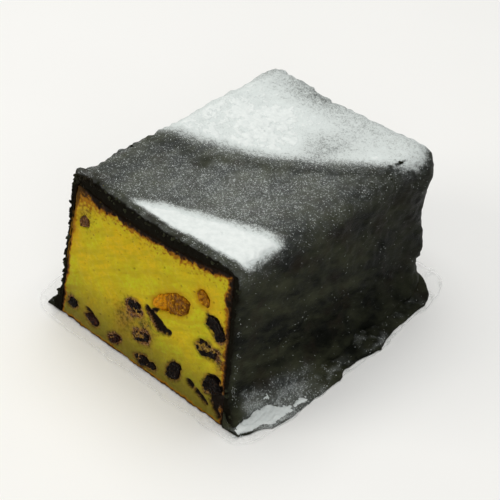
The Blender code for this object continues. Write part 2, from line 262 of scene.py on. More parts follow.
# %% Baked curd
def make_baked_curd():
    finish, add, place, browned, stained, ambered, pitted, torn = new_finish(
        "baked_curd_knife_cut", "browned", "stained", "ambered", "pitted", "torn")
    dragged = add("Mapping", {
        "Vector": place, "Rotation": (0.0, math.radians(-33), 0.0), "Scale": (4.5, 1.0, 1.0)},
        vector_type="TEXTURE")
    patches, drags, crumb, grain = [
        add("TexNoise", {"Vector": where, "Scale": per(width), "Detail": detail, "Roughness": harsh})
        for where, width, detail, harsh in (
            (place, 17 * MM, 2.0, 0.5), (dragged, 2.6 * MM, 3.0, 0.5),
            (place, 1.6 * MM, 4.0, 0.65), (place, 0.45 * MM, 2.0, 0.5))]
    level = add("SeparateXYZ", [place]).outputs["Z"]
    level = add("Math", [crumb, 5 * MM, level], operation="MULTIPLY_ADD")
    uneven = add("Math", [crumb, 0.5], operation="SUBTRACT")
    burnt = add("Math", [uneven, 1.1, browned], operation="MULTIPLY_ADD")
    soaked = add("Math", [uneven, stained], operation="ADD")
    drenched = add("MapRange", {"Value": stained, "From Min": 0.55, "From Max": 0.85, "To Max": 0.8})
    fleck = add("MapRange", {"Value": grain, "From Min": 0.58, "From Max": 0.66})
    fleck = add("Math", [fleck, drenched], operation="MULTIPLY")
    juice = lay_colours(add, "#341e0c", (
        (crumb, 0.57, 0.42, 1.0, "#84592a"),
        (fleck, 0.0, 1.0, 1.0, "#bd9a80")))
    body = lay_colours(add, "#c0c620", (
        (patches, 0.38, 0.62, 1.0, "#dab318"),
        (drags, 0.56, 0.34, 1.0, "#b2a31a"),
        (crumb, 0.70, 0.30, 1.0, "#bba41c")))
    # The foot of the cut is darker: partly damp curd, partly painted shade of a slice lying in front
    # of it. The crust goes from tan to nearly black.
    body = lay_colours(add, body, (
        (level, 40 * MM, 4 * MM, 0.85, "#5a5222"),
        (burnt, 0.10, 0.50, 1.0, "#96620e"),
        (burnt, 0.50, 0.80, 1.0, "#3a2008"),
        (burnt, 0.82, 1.08, 1.0, "#140b04")), "SMOOTHSTEP")
    body = lay_colours(add, body, (
        (ambered, 0.0, 1.0, 1.0, "#b07a10"),
        (soaked, 0.18, 0.92, 1.0, juice),
        # Pits are darkened by their depth, as painted shade.
        (pitted, 0.0, 1.0, 1.0, "#5a4a12"),
        # Slits are near black: partly raisin skin left in them, partly painted shade of their depth.
        (torn, 0.0, 1.0, 1.0, "#150e08")))
    height = add("Math", [crumb, 0.6, grain], operation="MULTIPLY_ADD")
    bump = add("Bump", {"Strength": 0.6, "Distance": 0.25 * MM, "Height": height})
    shine = add("MapRange", {"Value": grain, "To Min": 0.42, "To Max": 0.75})
    shader = add("BsdfPrincipled", {
        "Base Color": body, "Roughness": shine, "Normal": bump, "IOR": 1.43, "Specular IOR Level": 0.07,
        "Subsurface Weight": 0.12, "Subsurface Scale": 1.2 * MM, "Subsurface Radius": (1.0, 0.6, 0.2)})
    add("OutputMaterial", {"Surface": shader})
    return finish


baked_curd = make_baked_curd()
print("finish:", baked_curd.name)

# %% [markdown]
# ## Finish: dark chocolate glaze, poured and set
# Set chocolate glaze is almost black, half glossy, and its gloss is broken by a fine skin. Sifted
# sugar lies on it, from single grains to a full white cover. The mesh carries how much sugar
# lies at each place. A thin clumped veil greys the glaze, and two cell patterns add the grains:
# each cell draws a number, and it is white where that number is under the amount. So few cells
# are white in a thin haze and almost all under a full cover, with a speckled border between.

# %% Chocolate glaze
def make_chocolate():
    finish, add, place, dusting, broken, crusty = new_finish(
        "dark_chocolate_glaze_set", "dusting", "broken", "crusty")
    ran = add("Mapping", {
        "Vector": place, "Rotation": (math.radians(-22), 0.0, 0.0), "Scale": (1.0, 2.6, 1.0)},
        vector_type="TEXTURE")
    patches, skin, warm, clumps = [
        add("TexNoise", {"Vector": where, "Scale": per(width), "Detail": detail, "Roughness": harsh})
        for where, width, detail, harsh in (
            (ran, 10 * MM, 6.0, 0.62), (ran, 1.4 * MM, 5.0, 0.65),
            (place, 12 * MM, 3.0, 0.5), (place, 1.5 * MM, 4.0, 0.75))]
    along = add("SeparateXYZ", [place]).outputs["Y"]
    baked = add("Math", [crusty, skin], operation="ADD")
    tanned = add("Math", [skin, 0.8, crusty], operation="MULTIPLY_ADD")
    # The glaze is painted darker towards the far end, as painted shade where the light falls off,
    # and its broken rim shows the curd's crust.
    body = lay_colours(add, "#0b0d07", (
        # Lighter patches: partly the glaze's own uneven tone, partly painted sheen and fold shade.
        (patches, 0.38, 0.66, 1.0, "#3b3d2d"),
        (warm, 0.52, 0.68, 0.6, "#221a12"),
        (along, -10 * MM, 60 * MM, 0.5, "#080a05"),
        (broken, 0.0, 1.0, 1.0, "#14120c"),
        (baked, 0.75, 1.15, 1.0, "#150d05"),
        (tanned, 1.55, 1.85, 1.0, "#6b4c12")))
    # A veil of sugar: weak under a thin dusting, stronger under a thick one, and clumped.
    clumped = add("MapRange", {
        "Value": clumps, "From Min": 0.3, "From Max": 0.7, "To Min": 0.68, "To Max": 1.30})
    veil = add("Math", [dusting, 0.78, 0.24], operation="MULTIPLY_ADD")
    veil = add("Math", [veil, dusting], operation="MULTIPLY")
    veil = add("Math", [veil, clumped], operation="MULTIPLY")
    # Grains: two patterns of cells draw a number for each place, from red and from green.
    coarse, small = [
        add("TexVoronoi", {"Vector": place, "Scale": per(width)}).outputs["Color"]
        for width in (0.72 * MM, 0.28 * MM)]
    coarse = add("SeparateColor", [coarse]).outputs["Red"]
    small = add("SeparateColor", [small]).outputs["Green"]
    drawn = add("Math", [coarse, small], operation="ADD")
    margin = add("Math", [drawn, -0.5, dusting], operation="MULTIPLY_ADD")
    cover = add("MapRange", {"Value": margin, "From Min": -0.02, "From Max": 0.06})
    strength = add("Math", [dusting, 0.58, 0.40], operation="MULTIPLY_ADD")
    cover = add("Math", [cover, strength], operation="MULTIPLY")
    sugar = add("Math", [veil, cover], operation="MAXIMUM")
    colour = add("Mix", {0: sugar, 6: body, 7: "#e4ebea"}, data_type="RGBA")
    gloss = add("MapRange", {
        "Value": patches, "From Min": 0.3, "From Max": 0.7, "To Min": 0.28, "To Max": 0.6})
    for share, matt in ((broken, 0.8), (sugar, 0.95)):
        gloss = add("Mix", {0: share, 2: gloss, 3: matt}, data_type="FLOAT")
    height = add("Math", [sugar, 0.8, skin], operation="MULTIPLY_ADD")
    bump = add("Bump", {"Strength": 0.9, "Distance": 0.6 * MM, "Height": height})
    shader = add("BsdfPrincipled", {
        "Base Color": colour, "Roughness": gloss, "Normal": bump, "IOR": 1.46, "Specular IOR Level": 0.03})
    add("OutputMaterial", {"Surface": shader})
    return finish


chocolate = make_chocolate()
print("finish:", chocolate.name)

# %% [markdown]
# ## Finish: sifted icing sugar
# Icing sugar is ground sugar crystal. In bulk it is matt and off-white, and slightly cool. Fine
# noise gives it the clumped look of a sieve's fall.

# %% Icing sugar
def make_icing_sugar():
    finish, add, place = new_finish("icing_sugar_sifted")
    clumps = add("TexNoise", {"Vector": place, "Scale": per(2.4 * MM), "Detail": 3.0})
    fine = add("TexNoise", {"Vector": place, "Scale": per(0.4 * MM), "Detail": 3.0, "Roughness": 0.7})
    colour = lay_colours(add, "#dfe5e4", [(clumps, 0.35, 0.65, 1.0, "#e8edec")])
    bump = add("Bump", {"Strength": 0.6, "Distance": 0.15 * MM, "Height": fine})
    shader = add("BsdfPrincipled", {"Base Color": colour, "Roughness": 0.95, "Normal": bump, "IOR": 1.5})
    add("OutputMaterial", {"Surface": shader})
    return finish


icing_sugar = make_icing_sugar()
print("finish:", icing_sugar.name)

# %% [markdown]
# ## Finishes: dried fruit, cut and whole
# A sultana is a dried pale grape: amber, a little clear, and sticky. A raisin is dried dark, so
# only its torn edges show brown. A cranberry dries to a deep red. One recipe makes all three,
# because they differ only in colour, in depth of light and in the size of their wrinkles.

# %% Dried fruit
def make_dried_fruit(name, deep, pale, torn, fold, light):
    """A finish from the skin's deep and pale colours, the torn flesh, the folds and the glow."""
    finish, add, place, fresh = new_finish(name, "fresh")
    folds, bits = [
        add("TexNoise", {"Vector": place, "Scale": per(width), "Detail": detail, "Roughness": 0.6})
        for width, detail in ((fold, 4.0), (1.1 * MM, 3.0))]
    # At a scale of 1 the bands of a wave lie 0.314 apart, so here they lie one fold apart.
    ridges = add("TexWave", {
        "Vector": place, "Scale": 0.314 * per(fold), "Distortion": 11.0, "Detail": 3.0,
        "Detail Scale": 1.6}).outputs["Fac"]
    share = add("Math", [folds, 1.3, fresh], operation="MULTIPLY_ADD")
    vein = add("MapRange", {
        "Value": ridges, "From Min": 0.1, "From Max": 0.6, "To Min": 0.85, "To Max": 0.0})
    vein = add("Math", [fresh, -0.6, vein], operation="MULTIPLY_ADD", use_clamp=True)
    colour = lay_colours(add, deep, (
        (share, 0.55, 1.35, 1.0, pale),
        (vein, 0.0, 1.0, 1.0, deep),
        (bits, 0.56, 0.70, 0.75, torn)))
    height = add("Math", [ridges, 0.3, folds], operation="MULTIPLY_ADD")
    bump = add("Bump", {"Strength": 0.7, "Distance": 0.35 * MM, "Height": height})
    shine = add("MapRange", {
        "Value": bits, "From Min": 0.35, "From Max": 0.6, "To Min": 0.22, "To Max": 0.55})
    shader = add("BsdfPrincipled", {
        "Base Color": colour, "Roughness": shine, "Normal": bump, "IOR": 1.46, "Specular IOR Level": 0.06,
        "Subsurface Weight": light, "Subsurface Scale": 1.2 * MM, "Subsurface Radius": (1.0, 0.6, 0.2)})
    add("OutputMaterial", {"Surface": shader})
    return finish


FRUIT_FINISH = {
    "sultana": make_dried_fruit("sultana_sun_dried", "#5a3202", "#cb8606", "#dea822", 2.4 * MM, 0.10),
    "browned": make_dried_fruit("sultana_dried_brown", "#3a2110", "#835828", "#b08560", 1.7 * MM, 0.04),
    "raisin": make_dried_fruit("raisin_sun_dried", "#050303", "#1a100b", "#3c2a1c", 1.5 * MM, 0.0),
    "cranberry": make_dried_fruit("cranberry_sweet_dried", "#0d0605", "#35170f", "#5f3322", 1.4 * MM, 0.03),
}
print("finishes:", len(FRUIT_FINISH))

# %% [markdown]
# ## Finish: clear film
# Real film is about a hundredth of a millimetre thick. Light passes straight through it,
# and it shows only by its glints. So its surface is mostly see-through, and whiter where it
# is creased and at its outer edge, partly a little milky and partly painted glints, with a
# gloss that catches the lights.

# %% Clear film
def make_clear_film():
    finish, add, place, crease_and_glint = new_finish("clear_film_blown", "crease_and_glint")
    fine = add("TexNoise", {"Vector": place, "Scale": per(2.0 * MM), "Detail": 3.0})
    # Creases and the outer edge are whiter: partly milky film, partly painted glints.
    milk_and_glint = add("MapRange", {"Value": crease_and_glint, "To Min": 0.02, "To Max": 0.55})
    haze = add("MapRange", {
        "Value": fine, "From Min": 0.3, "From Max": 0.7, "To Min": 0.03, "To Max": 0.16})
    bump = add("Bump", {"Strength": 0.5, "Distance": 0.3 * MM, "Height": fine})
    shader = add("BsdfPrincipled", {
        "Base Color": "#f4f6f5", "Roughness": haze, "Normal": bump, "IOR": 1.49, "Alpha": milk_and_glint})
    add("OutputMaterial", {"Surface": shader})
    return finish


clear_film = make_clear_film()
print("finish:", clear_film.name)

# %% [markdown]
# ## The loaf of curd
# The curd's shape follows a rule: a block as wide as the tin, rounded along its top and far
# edges, with a dipped top, walls that spread towards the base, and a leaning cut. A node tree
# states such a rule once, with a named input for each size, and gives an even, fine mesh. The
# crumb, the pits and the hollows round the fruit are then pressed into the cut face in code,
# because they depend on where the fruit lies.

# %% The tree for the block
def new_tree(name, sizes):
    """A geometry tree with a named input for each size, a finish, and one output. With it come
    a function that adds nodes to it, and its inputs."""
    tree = bpy.data.node_groups.new(name, "GeometryNodeTree")
    sockets = {"Geometry": "Geometry", **sizes, "Finish": "Material"}
    for socket, kind in sockets.items():
        tree.interface.new_socket(name=socket, in_out="INPUT", socket_type="NodeSocket" + kind)
    tree.interface.new_socket(name="Geometry", in_out="OUTPUT", socket_type="NodeSocketGeometry")
    add = partial(add_to, tree)
    return tree, add, add("NodeGroupInput").outputs


def settle(host, modifier):
    """Turns an object with a modifier into a plain mesh, and takes the modifier away."""
    graph = bpy.context.evaluated_depsgraph_get()
    made = host.evaluated_get(graph)
    mesh = bpy.data.meshes.new_from_object(made, preserve_all_data_layers=True, depsgraph=graph)
    host.modifiers.remove(modifier)
    host.data = mesh
    mesh.name = host.name
    return host


def run_tree(name, tree, given, host_mesh=None):
    """Runs a tree on a host and returns the result as a plain mesh object."""
    host = put(name, host_mesh or bpy.data.meshes.new(name))
    rule = host.modifiers.new("rule", "NODES")
    rule.node_group = tree
    for item in tree.interface.items_tree:
        if item.in_out == "INPUT" and item.name in given:
            rule[item.identifier] = given[item.name]
    return settle(host, rule)


def end_tree(add, geometry, finish):
    """Ends a tree: its copies become real faces, and they get their finish."""
    real = add("GeometryNodeRealizeInstances", [geometry])
    coated = add("GeometryNodeSetMaterial", {"Geometry": real, "Material": finish})
    add("NodeGroupOutput", [coated])


def make_block_tree():
    floats = ("Top width", "Base width", "Height", "Length", "Edge radius", "Top dip", "Dip place",
              "Cut lean", "Far taper", "Base level", "Middle along")
    counts = ("Lines across", "Lines up")
    kinds = {**dict.fromkeys(floats, "Float"), **dict.fromkeys(counts, "Int")}
    tree, add, given = new_tree("loaf_block", kinds)
    height, length, radius = given["Height"], given["Length"], given["Edge radius"]
    size = add("CombineXYZ", [given["Top width"], length, height])
    cube = add("GeometryNodeMeshCube", {
        "Size": size, "Vertices X": given["Lines across"], "Vertices Y": 8, "Vertices Z": given["Lines up"]})
    half = add("VectorMath", {0: size, 3: 0.5}, operation="SCALE")
    lift = add("VectorMath", [half, (0, 0, 1)], operation="MULTIPLY")
    spot = add("GeometryNodeInputPosition")
    spot = add("VectorMath", [spot, lift], operation="ADD")
    # The flat core ends one radius inside each rounded edge.
    radii = add("CombineXYZ", [radius, radius, radius])
    top = add("VectorMath", [half, lift], operation="ADD")
    high = add("VectorMath", [top, radii], operation="SUBTRACT")
    inward = add("VectorMath", [radii, (1, 0, 0)], operation="MULTIPLY")
    low = add("VectorMath", [half, (-1, -1, 0)], operation="MULTIPLY")
    low = add("VectorMath", [low, inward], operation="ADD")
    core = add("VectorMath", [spot, low], operation="MAXIMUM")
    core = add("VectorMath", [core, high], operation="MINIMUM")
    # Beyond the core, the cube's corner is pulled back on to a ball.
    over = add("VectorMath", [spot, core], operation="SUBTRACT")
    parts = add("VectorMath", [over], operation="ABSOLUTE")
    over_x, over_y, over_z = add("SeparateXYZ", [parts]).outputs
    reach = add("Math", [over_x, over_y], operation="MAXIMUM")
    reach = add("Math", [reach, over_z], operation="MAXIMUM")
    way = add("VectorMath", [over], operation="NORMALIZE")
    way = add("VectorMath", {0: way, 3: reach}, operation="SCALE")
    rounded = add("VectorMath", [core, way], operation="ADD")
    x, y, z = add("SeparateXYZ", [rounded]).outputs
    # The top dips most at the dip's place and not at all at its far edge.
    rise = add("Math", [z, height], operation="DIVIDE")
    near_top = add("MapRange", {
        "Value": rise, "From Min": 0.6, "From Max": 1.0}, interpolation_type="SMOOTHSTEP")
    run = add("Math", [given["Top width"], 0.5], operation="MULTIPLY")
    run = add("Math", [run, given["Dip place"]], operation="SUBTRACT")
    aside = add("Math", [x, given["Dip place"]], operation="SUBTRACT")
    aside = add("Math", [aside, run], operation="DIVIDE")
    aside = add("Math", [aside, aside], operation="MULTIPLY")
    hollow = add("Math", [1.0, aside], operation="SUBTRACT")
    for factor in (near_top, given["Top dip"]):
        hollow = add("Math", [hollow, factor], operation="MULTIPLY")
    z = add("Math", [z, hollow], operation="SUBTRACT")
    # Below the top the walls spread, the far end reaches out and the cut leans out.
    share = add("Math", [z, height], operation="DIVIDE")
    share = add("Math", [1.0, share], operation="SUBTRACT")
    spread = add("Math", [given["Base width"], given["Top width"]], operation="DIVIDE")
    spread = add("Math", [spread, 1.0], operation="SUBTRACT")
    spread = add("Math", [spread, share, 1.0], operation="MULTIPLY_ADD")
    x = add("Math", [x, spread], operation="MULTIPLY")
    along = add("Math", [y, length], operation="DIVIDE")
    along = add("Math", [along, 0.5], operation="ADD")
    out = add("Math", [given["Far taper"], given["Cut lean"]], operation="ADD")
    out = add("Math", [out, along], operation="MULTIPLY")
    out = add("Math", [out, given["Cut lean"]], operation="SUBTRACT")
    y = add("Math", [out, share, y], operation="MULTIPLY_ADD")
    y = add("Math", [y, given["Middle along"]], operation="ADD")
    z = add("Math", [z, given["Base level"]], operation="ADD")
    place = add("CombineXYZ", [x, y, z])
    at_cut = add("Math", [along, 0.001], operation="LESS_THAN")
    marked = add("GeometryNodeStoreNamedAttribute", {
        "Geometry": cube, "Name": "at_cut", "Value": at_cut}, data_type="FLOAT", domain="POINT")
    moved = add("GeometryNodeSetPosition", {"Geometry": marked, "Position": place})
    end_tree(add, moved, given["Finish"])
    return tree


GLAZE_END = 3.0 * MM
curd_far = FAR_Y - GLAZE_END
curd_loaf = run_tree("curd_loaf", make_block_tree(), {
    "Top width": CURD_TOP_WIDTH, "Base width": CURD_BASE_WIDTH, "Height": CURD_HEIGHT,
    "Length": curd_far - CUT_Y, "Edge radius": 3.0 * MM, "Top dip": CURD_DIP, "Dip place": CURD_DIP_X,
    "Cut lean": CUT_LEAN, "Far taper": FAR_TAPER, "Base level": BASE_LEVEL,
    "Middle along": (curd_far + CUT_Y) / 2, "Lines across": 190, "Lines up": 150, "Finish": baked_curd})
print("block corners:", len(curd_loaf.data.vertices))

# %% [markdown]
# ## The dried fruit at the cut
# The knife went through thirteen pieces of fruit large enough to be solids of their own. Each is
# an egg that shrank as it dried, so its skin folded. Its solid gives the size, the place and the
# cut side. A copy of it is remeshed finely and its skin is pressed into folds, which keeps the
# solid's form and gives each fruit its own pattern, because the noise reads the fruit's place.

# %% Wrinkle the fruit
FOLD = {"sultana": 3.2, "raisin": 2.3, "cranberry": 2.0}  # mm
FOLD_DEPTH = {"sultana": 0.45 * MM, "raisin": 0.55 * MM, "cranberry": 0.4 * MM}
FRUIT_GRID = 0.42 * MM
NOTCH = (11.5 * MM, 41.0 * MM)  # across and up, where the large sultana's two lobes meet


def fine_copy(name, node, grid):
    """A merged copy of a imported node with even, fine faces, its steps rounded off."""
    bm = bmesh.new()
    bm.from_mesh(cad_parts[node].data)
    bmesh.ops.remove_doubles(bm, verts=bm.verts, dist=0.001 * MM)
    bmesh.ops.recalc_face_normals(bm, faces=bm.faces)
    mesh = bpy.data.meshes.new(name)
    bm.to_mesh(mesh)
    bm.free()
    host = put(name, mesh)
    remesh = host.modifiers.new("even", "REMESH")
    remesh.mode = "VOXEL"
    remesh.voxel_size = grid
    settle(host, remesh)
    bm = bmesh.new()
    bm.from_mesh(host.data)
    for _ in range(2):
        bmesh.ops.smooth_vert(
            bm, verts=bm.verts, factor=0.5, use_axis_x=True, use_axis_y=True, use_axis_z=True)
    bm.to_mesh(host.data)
    bm.free()
    return host


def press(mesh, amount):
    """Moves each corner along its normal by an amount, in metres."""
    normals = np.array([v.vector for v in mesh.vertex_normals])
    move_corners(mesh, corners(mesh) + normals * amount[:, None])


fruit_pieces = {}
for index, node in enumerate(fruit_names):
    kind = node.split("_")[0]
    fruit = fine_copy("wrinkled_" + node, node, FRUIT_GRID)
    places = corners(fruit.data)
    folds = 1 - 2 * np.abs(rough(places, FOLD[kind], 3.0 + index))
    creases = rough(places, FOLD[kind] / 2.6, 21.0 + index)
    swell = rough(places, 1.9 * FOLD[kind], 12.0 + index)
    press(fruit.data, FOLD_DEPTH[kind] * (0.6 * creases + 2.5 * swell - np.clip(folds, 0, 1) ** 2))
    fresh = np.full(len(places), 0.22)
    if node == "sultana_large":
        from_notch = np.hypot(places[:, 0] - NOTCH[0], places[:, 2] - NOTCH[1])
        press(fruit.data, -1.3 * MM * bell(from_notch, 0, 3.0 * MM))
        # It is fresh and bright at one end, and dried brown at the other.
        across = (places[:, 0] - places[:, 0].min()) / np.ptp(places[:, 0])
        fresh = 0.75 - 0.70 * ease(0.15, 0.65, across)
    set_values(fruit.data, {"fresh": fresh})
    fruit.data.materials.clear()
    fruit.data.materials.append(FRUIT_FINISH["browned" if node == "sultana_left_edge" else kind])
    fruit.data.shade_smooth()
    fruit_pieces[node] = fruit
print("fruit corners:", sum(len(f.data.vertices) for f in fruit_pieces.values()))

# %% [markdown]
# ## The cut face
# A knife drags crumbs out of a baked curd and leaves low waves, small pits where there were
# bubbles, and slits where a fruit tore away. The fruit sits in the face with a thin dark gap.
# Rays cast at the fruit find its outline, so that the curd sinks behind it and just round it.

# %% Measure the cut face
SLITS = (  # across, up, length, thickness and depth in mm, and tilt in degrees
    (7.6, 32.2, 17.5, 4.8, 2.2, -27),
    (5.2, 35.4, 6.5, 3.4, 1.8, 35),
    (15.2, 29.6, 5.0, 3.6, 1.6, 10),
    (47.6, 5.6, 9.0, 4.5, 1.2, -58),
    (36.0, 8.6, 16.0, 3.4, 1.6, -26),
    (-33.0, 11.6, 7.0, 2.4, 1.2, -24),
    (46.5, 15.5, 19.0, 9.5, 1.5, -66),
)
curd_places = corners(curd_loaf.data)
marks = np.empty(len(curd_places), np.float32)
curd_loaf.data.attributes["at_cut"].data.foreach_get("value", marks)
face = np.flatnonzero(marks > 0.5)
spots = curd_places[face]
flat = spots * [1, 0, 1]
x_mm, z_mm = spots[:, 0] / MM, (spots[:, 2] - BASE_LEVEL) / MM
half_mm = (CURD_TOP_WIDTH / 2 + (CURD_BASE_WIDTH - CURD_TOP_WIDTH) / 2 * (1 - z_mm * MM / CURD_HEIGHT)) / MM
run = (CURD_TOP_WIDTH / 2 - CURD_DIP_X) / MM
top_mm = (CURD_HEIGHT - CURD_DIP * np.clip(1 - ((x_mm - CURD_DIP_X / MM) / run) ** 2, 0, 1)) / MM
from_left, from_right = x_mm + half_mm, half_mm - x_mm
from_top, from_base = top_mm - z_mm, z_mm
print("face corners:", len(face), "section in mm:", round(x_mm.min(), 1), round(x_mm.max(), 1))

# %% Press the relief into the face
def tilted(u, v, angle):
    """Two values, measured along and across a line that is tilted by an angle."""
    return u * math.cos(angle) + v * math.sin(angle), v * math.cos(angle) - u * math.sin(angle)


def xyz(x, y, z):
    """Points from three values, each of them one number or one for every point."""
    return np.stack(np.broadcast_arrays(x, y, z), -1)


wave = 0.6 * MM * rough(flat, 28, 8) + 0.5 * MM * rough(flat, 5, 7)
along_drag, over_drag = tilted(x_mm, z_mm, math.radians(33))
drags = rough(xyz(along_drag * 0.22, 0, over_drag) * MM, 2.4, 30)
crumb = 0.34 * MM * rough(flat, 2.4, 31) + 0.26 * MM * rough(flat, 1.25, 32) + 0.16 * MM * drags
edge = np.minimum(np.minimum(from_left, from_right), np.minimum(from_top, from_base + 1.0))
ragged = 0.7 * MM * rough(flat, 1.6, 33) * (1 - ease(0.8, 3.5, edge))
out = wave + crumb + ragged

draw = np.random.default_rng(11)
pitted = np.zeros(len(face))
PITS = 160
for _ in range(PITS):
    pit_x = draw.uniform(-46, 44)
    pit_z = 74 - 66 * draw.random() ** 1.8
    wide = draw.uniform(0.35, 0.9)
    turn = draw.uniform(0, math.pi)
    along, over = tilted(x_mm - pit_x, z_mm - pit_z, turn)
    over = over * draw.uniform(1.0, 2.4)
    depth = draw.uniform(0.3, 1.0) * (1 - ease(0.3, 1.2, np.hypot(along, over) / wide))
    pitted = np.maximum(pitted, depth)
out -= 0.8 * MM * pitted

slit = np.zeros(len(face))
torn_edge = 1.1 * rough(flat, 3.1, 41) + 0.55 * rough(flat, 1.5, 42)
bridges = ease(-0.50, -0.22, rough(flat, 2.2, 43))
for across, up, length, thick, deep, tilt in SLITS:
    u, v = tilted(x_mm - across, z_mm - up, math.radians(tilt))
    u, v = u / (length / 2), v / (thick / 2)
    gape = np.clip(1 - u ** 4 - (v + 0.5 * torn_edge) ** 2 + 0.5 * torn_edge, 0, 1)
    gape *= u * u + v * v < 2.2
    slit = np.maximum(slit, np.sqrt(gape) * deep * bridges)
out -= slit * MM
print("relief in mm:", round(float(out.min()) * 1000, 2), round(float(out.max()) * 1000, 2))

# %% [markdown]
# The knife also dragged curd over some fruit. A short list says where, and how much: most over
# the halved raisin, some over the torn pair at the middle and the row near the base, and none
# over the large sultana. There the curd lies in patches, so the outlines are broken as by a knife.

# %% Sink the curd behind and round the fruit
pairs = np.empty(len(curd_loaf.data.edges) * 2, np.int32)
curd_loaf.data.edges.foreach_get("vertices", pairs)
number = np.full(len(curd_places), -1)
number[face] = np.arange(len(face))
pairs = number[pairs.reshape(-1, 2)]
pairs = pairs[(pairs >= 0).all(axis=1)]
pairs = np.concatenate([pairs, pairs[:, ::-1]])
neighbours = np.bincount(pairs[:, 0], minlength=len(face))


def even_out(numbers, passes):
    """Moves each value of the cut face half way to the mean of its neighbours' values."""
    for _ in range(passes):
        beside = np.bincount(pairs[:, 0], numbers[pairs[:, 1]], minlength=len(face)) / neighbours
        numbers = 0.5 * numbers + 0.5 * beside
    return numbers


SMEARS = (  # across, up, half width and half height in mm, and how much more curd lies there
    (38.0, 35.0, 4.5, 2.0, 0.85),
    (-7.5, 31.0, 5.0, 3.5, 0.32),
    (-2.0, 18.5, 5.0, 4.0, 0.56),
    (-41.5, 60.0, 6.0, 6.0, -0.50),
    (31.8, 60.0, 6.0, 6.0, -0.60),
    (12.0, 46.0, 14.0, 9.0, -0.50),
    (-31.0, 9.0, 5.0, 2.5, 0.12),
    (-16.0, 6.5, 5.0, 3.5, 0.34),
    (20.0, 13.0, 2.6, 2.2, 0.25),
)
SMEARED_OVER = 0.30
SMEAR_DEPTH = 0.15 * MM
SINK = 0.7 * MM
LIP = 0.35 * MM
FARTHEST = 8 * MM
fruit_tree = finder(*fruit_pieces.values())
raisin_tree = finder(*[f for n, f in fruit_pieces.items() if not n.startswith("sultana")])
sultana_tree = finder(*[f for n, f in fruit_pieces.items() if n.startswith("sultana")])


def gap_to(tree, spot):
    """How far off the nearest of some fruit is, up to the farthest that counts."""
    gap = tree.find_nearest(spot, FARTHEST)[3]
    return FARTHEST if gap is None else gap


covered = rough(flat, 3.1, 45) + 0.5 * rough(flat, 1.2, 46)
for across, up, half_wide, half_high, more in SMEARS:
    covered += more * blob(x_mm, z_mm, across, up, half_wide, half_high)
near_dark, near_amber, smeared = np.zeros((3, len(face)))
for i, spot in enumerate(spots):
    surface = spot[1] - out[i]
    start = Vector((spot[0], CUT_Y - 30 * MM, spot[2]))
    hit = fruit_tree.ray_cast(start, Vector((0, 1, 0)), 60 * MM)[0]
    if hit and hit.y < surface + 3 * MM:
        if covered[i] < SMEARED_OVER:
            out[i] = min(out[i], spot[1] - hit.y - SINK)
        else:
            out[i] = max(out[i], spot[1] - hit.y + SMEAR_DEPTH)
            smeared[i] = 1.0
    here = Vector((spot[0], surface, spot[2]))
    near_dark[i] = gap_to(raisin_tree, here)
    near_amber[i] = gap_to(sultana_tree, here)
near_dark /= MM
near_amber /= MM
lip = np.maximum(1 - ease(0.1, 0.9, near_dark), 1 - ease(0.1, 0.8, near_amber)) * (1 - smeared)
out -= LIP * lip
out = even_out(out, 2)
curd_places[face, 1] = spots[:, 1] - out
move_corners(curd_loaf.data, curd_places)
print("sunk corners:", int((out < -1 * MM).sum()), "smeared corners:", int(smeared.sum()))

# %% Say how browned and how stained each place is
JUICE = (  # across, up, half width and half height in mm, and how strong
    (-8.5, 26.0, 6.0, 8.0, 1.0),
    (-12.0, 22.0, 7.0, 11.0, 0.80),
    (1.0, 25.0, 9.0, 8.0, 0.86),
    (4.0, 15.0, 6.0, 5.0, 0.45),
    (-15.0, 8.0, 4.0, 3.5, 0.7),
    (-41.0, 62.0, 6.5, 8.0, 0.60),
    (46.0, 33.0, 2.6, 13.0, 0.85),
    (37.0, 42.0, 5.0, 2.6, 0.35),
    (-44.0, 13.0, 6.0, 3.0, 0.5),
)
crust_widths = ((from_left, 1.9), (from_right, 3.6), (from_top, 3.6), (from_base, 1.8))  # mm
uneven = 1.0 + 0.75 * rough(flat, 6, 51) + 0.55 * rough(flat, 2.2, 52)
uneven = np.clip(uneven, 0.35, 2.5)
browned = np.maximum.reduce([1 - away / (wide * uneven) for away, wide in crust_widths])
specks = np.clip(rough(flat, 1.5, 53) - 0.12, 0, 1)
crust = 0.26 * bell(from_top, 0, 6.5) + 0.9 * specks * bell(from_top, 2.5, 6.0)
crust += 0.52 * blob(from_left, from_top, 0, 0, 16.0, 11.0)
crust += 0.5 * blob(x_mm, z_mm, 45, 65, 2.2, 5)
browned = np.clip(np.maximum(browned, 0) + crust, 0, 1.2)

smear = np.zeros(len(face))
for across, up, half_wide, half_high, strong in JUICE:
    smear = np.maximum(smear, strong * blob(x_mm, z_mm, across, up, half_wide, half_high))
torn_rim = np.clip(1.2 * even_out(slit, 14), 0, 0.8)
stained = np.clip(np.maximum(0.80 * bell(near_dark, 0, 1.7), torn_rim) + 0.85 * smear, 0, 1)
over_fruit = 0.40 + 0.42 * (near_amber > near_dark)
stained = even_out(np.where(smeared > 0, over_fruit, stained), 1)
by_sultana = 0.6 * bell(near_amber, 0, 2.2) * ease(-38, -30, x_mm)
ambered = np.maximum(by_sultana, 0.5 * bell(from_left, 0, 5.0) * bell(z_mm, 54, 16))
face_values = {
    "browned": browned, "stained": stained, "ambered": ambered,
    "pitted": 0.75 * pitted, "torn": ease(0.25, 0.75, even_out(slit, 2))}
for name, numbers in face_values.items():
    everywhere = np.full(len(curd_places), 1.0 if name == "browned" else 0.0)
    everywhere[face] = numbers
    set_values(curd_loaf.data, {name: everywhere})
curd_loaf.data.shade_smooth()
print("browned share of the face:", round(float((browned > 0.5).mean()), 3))

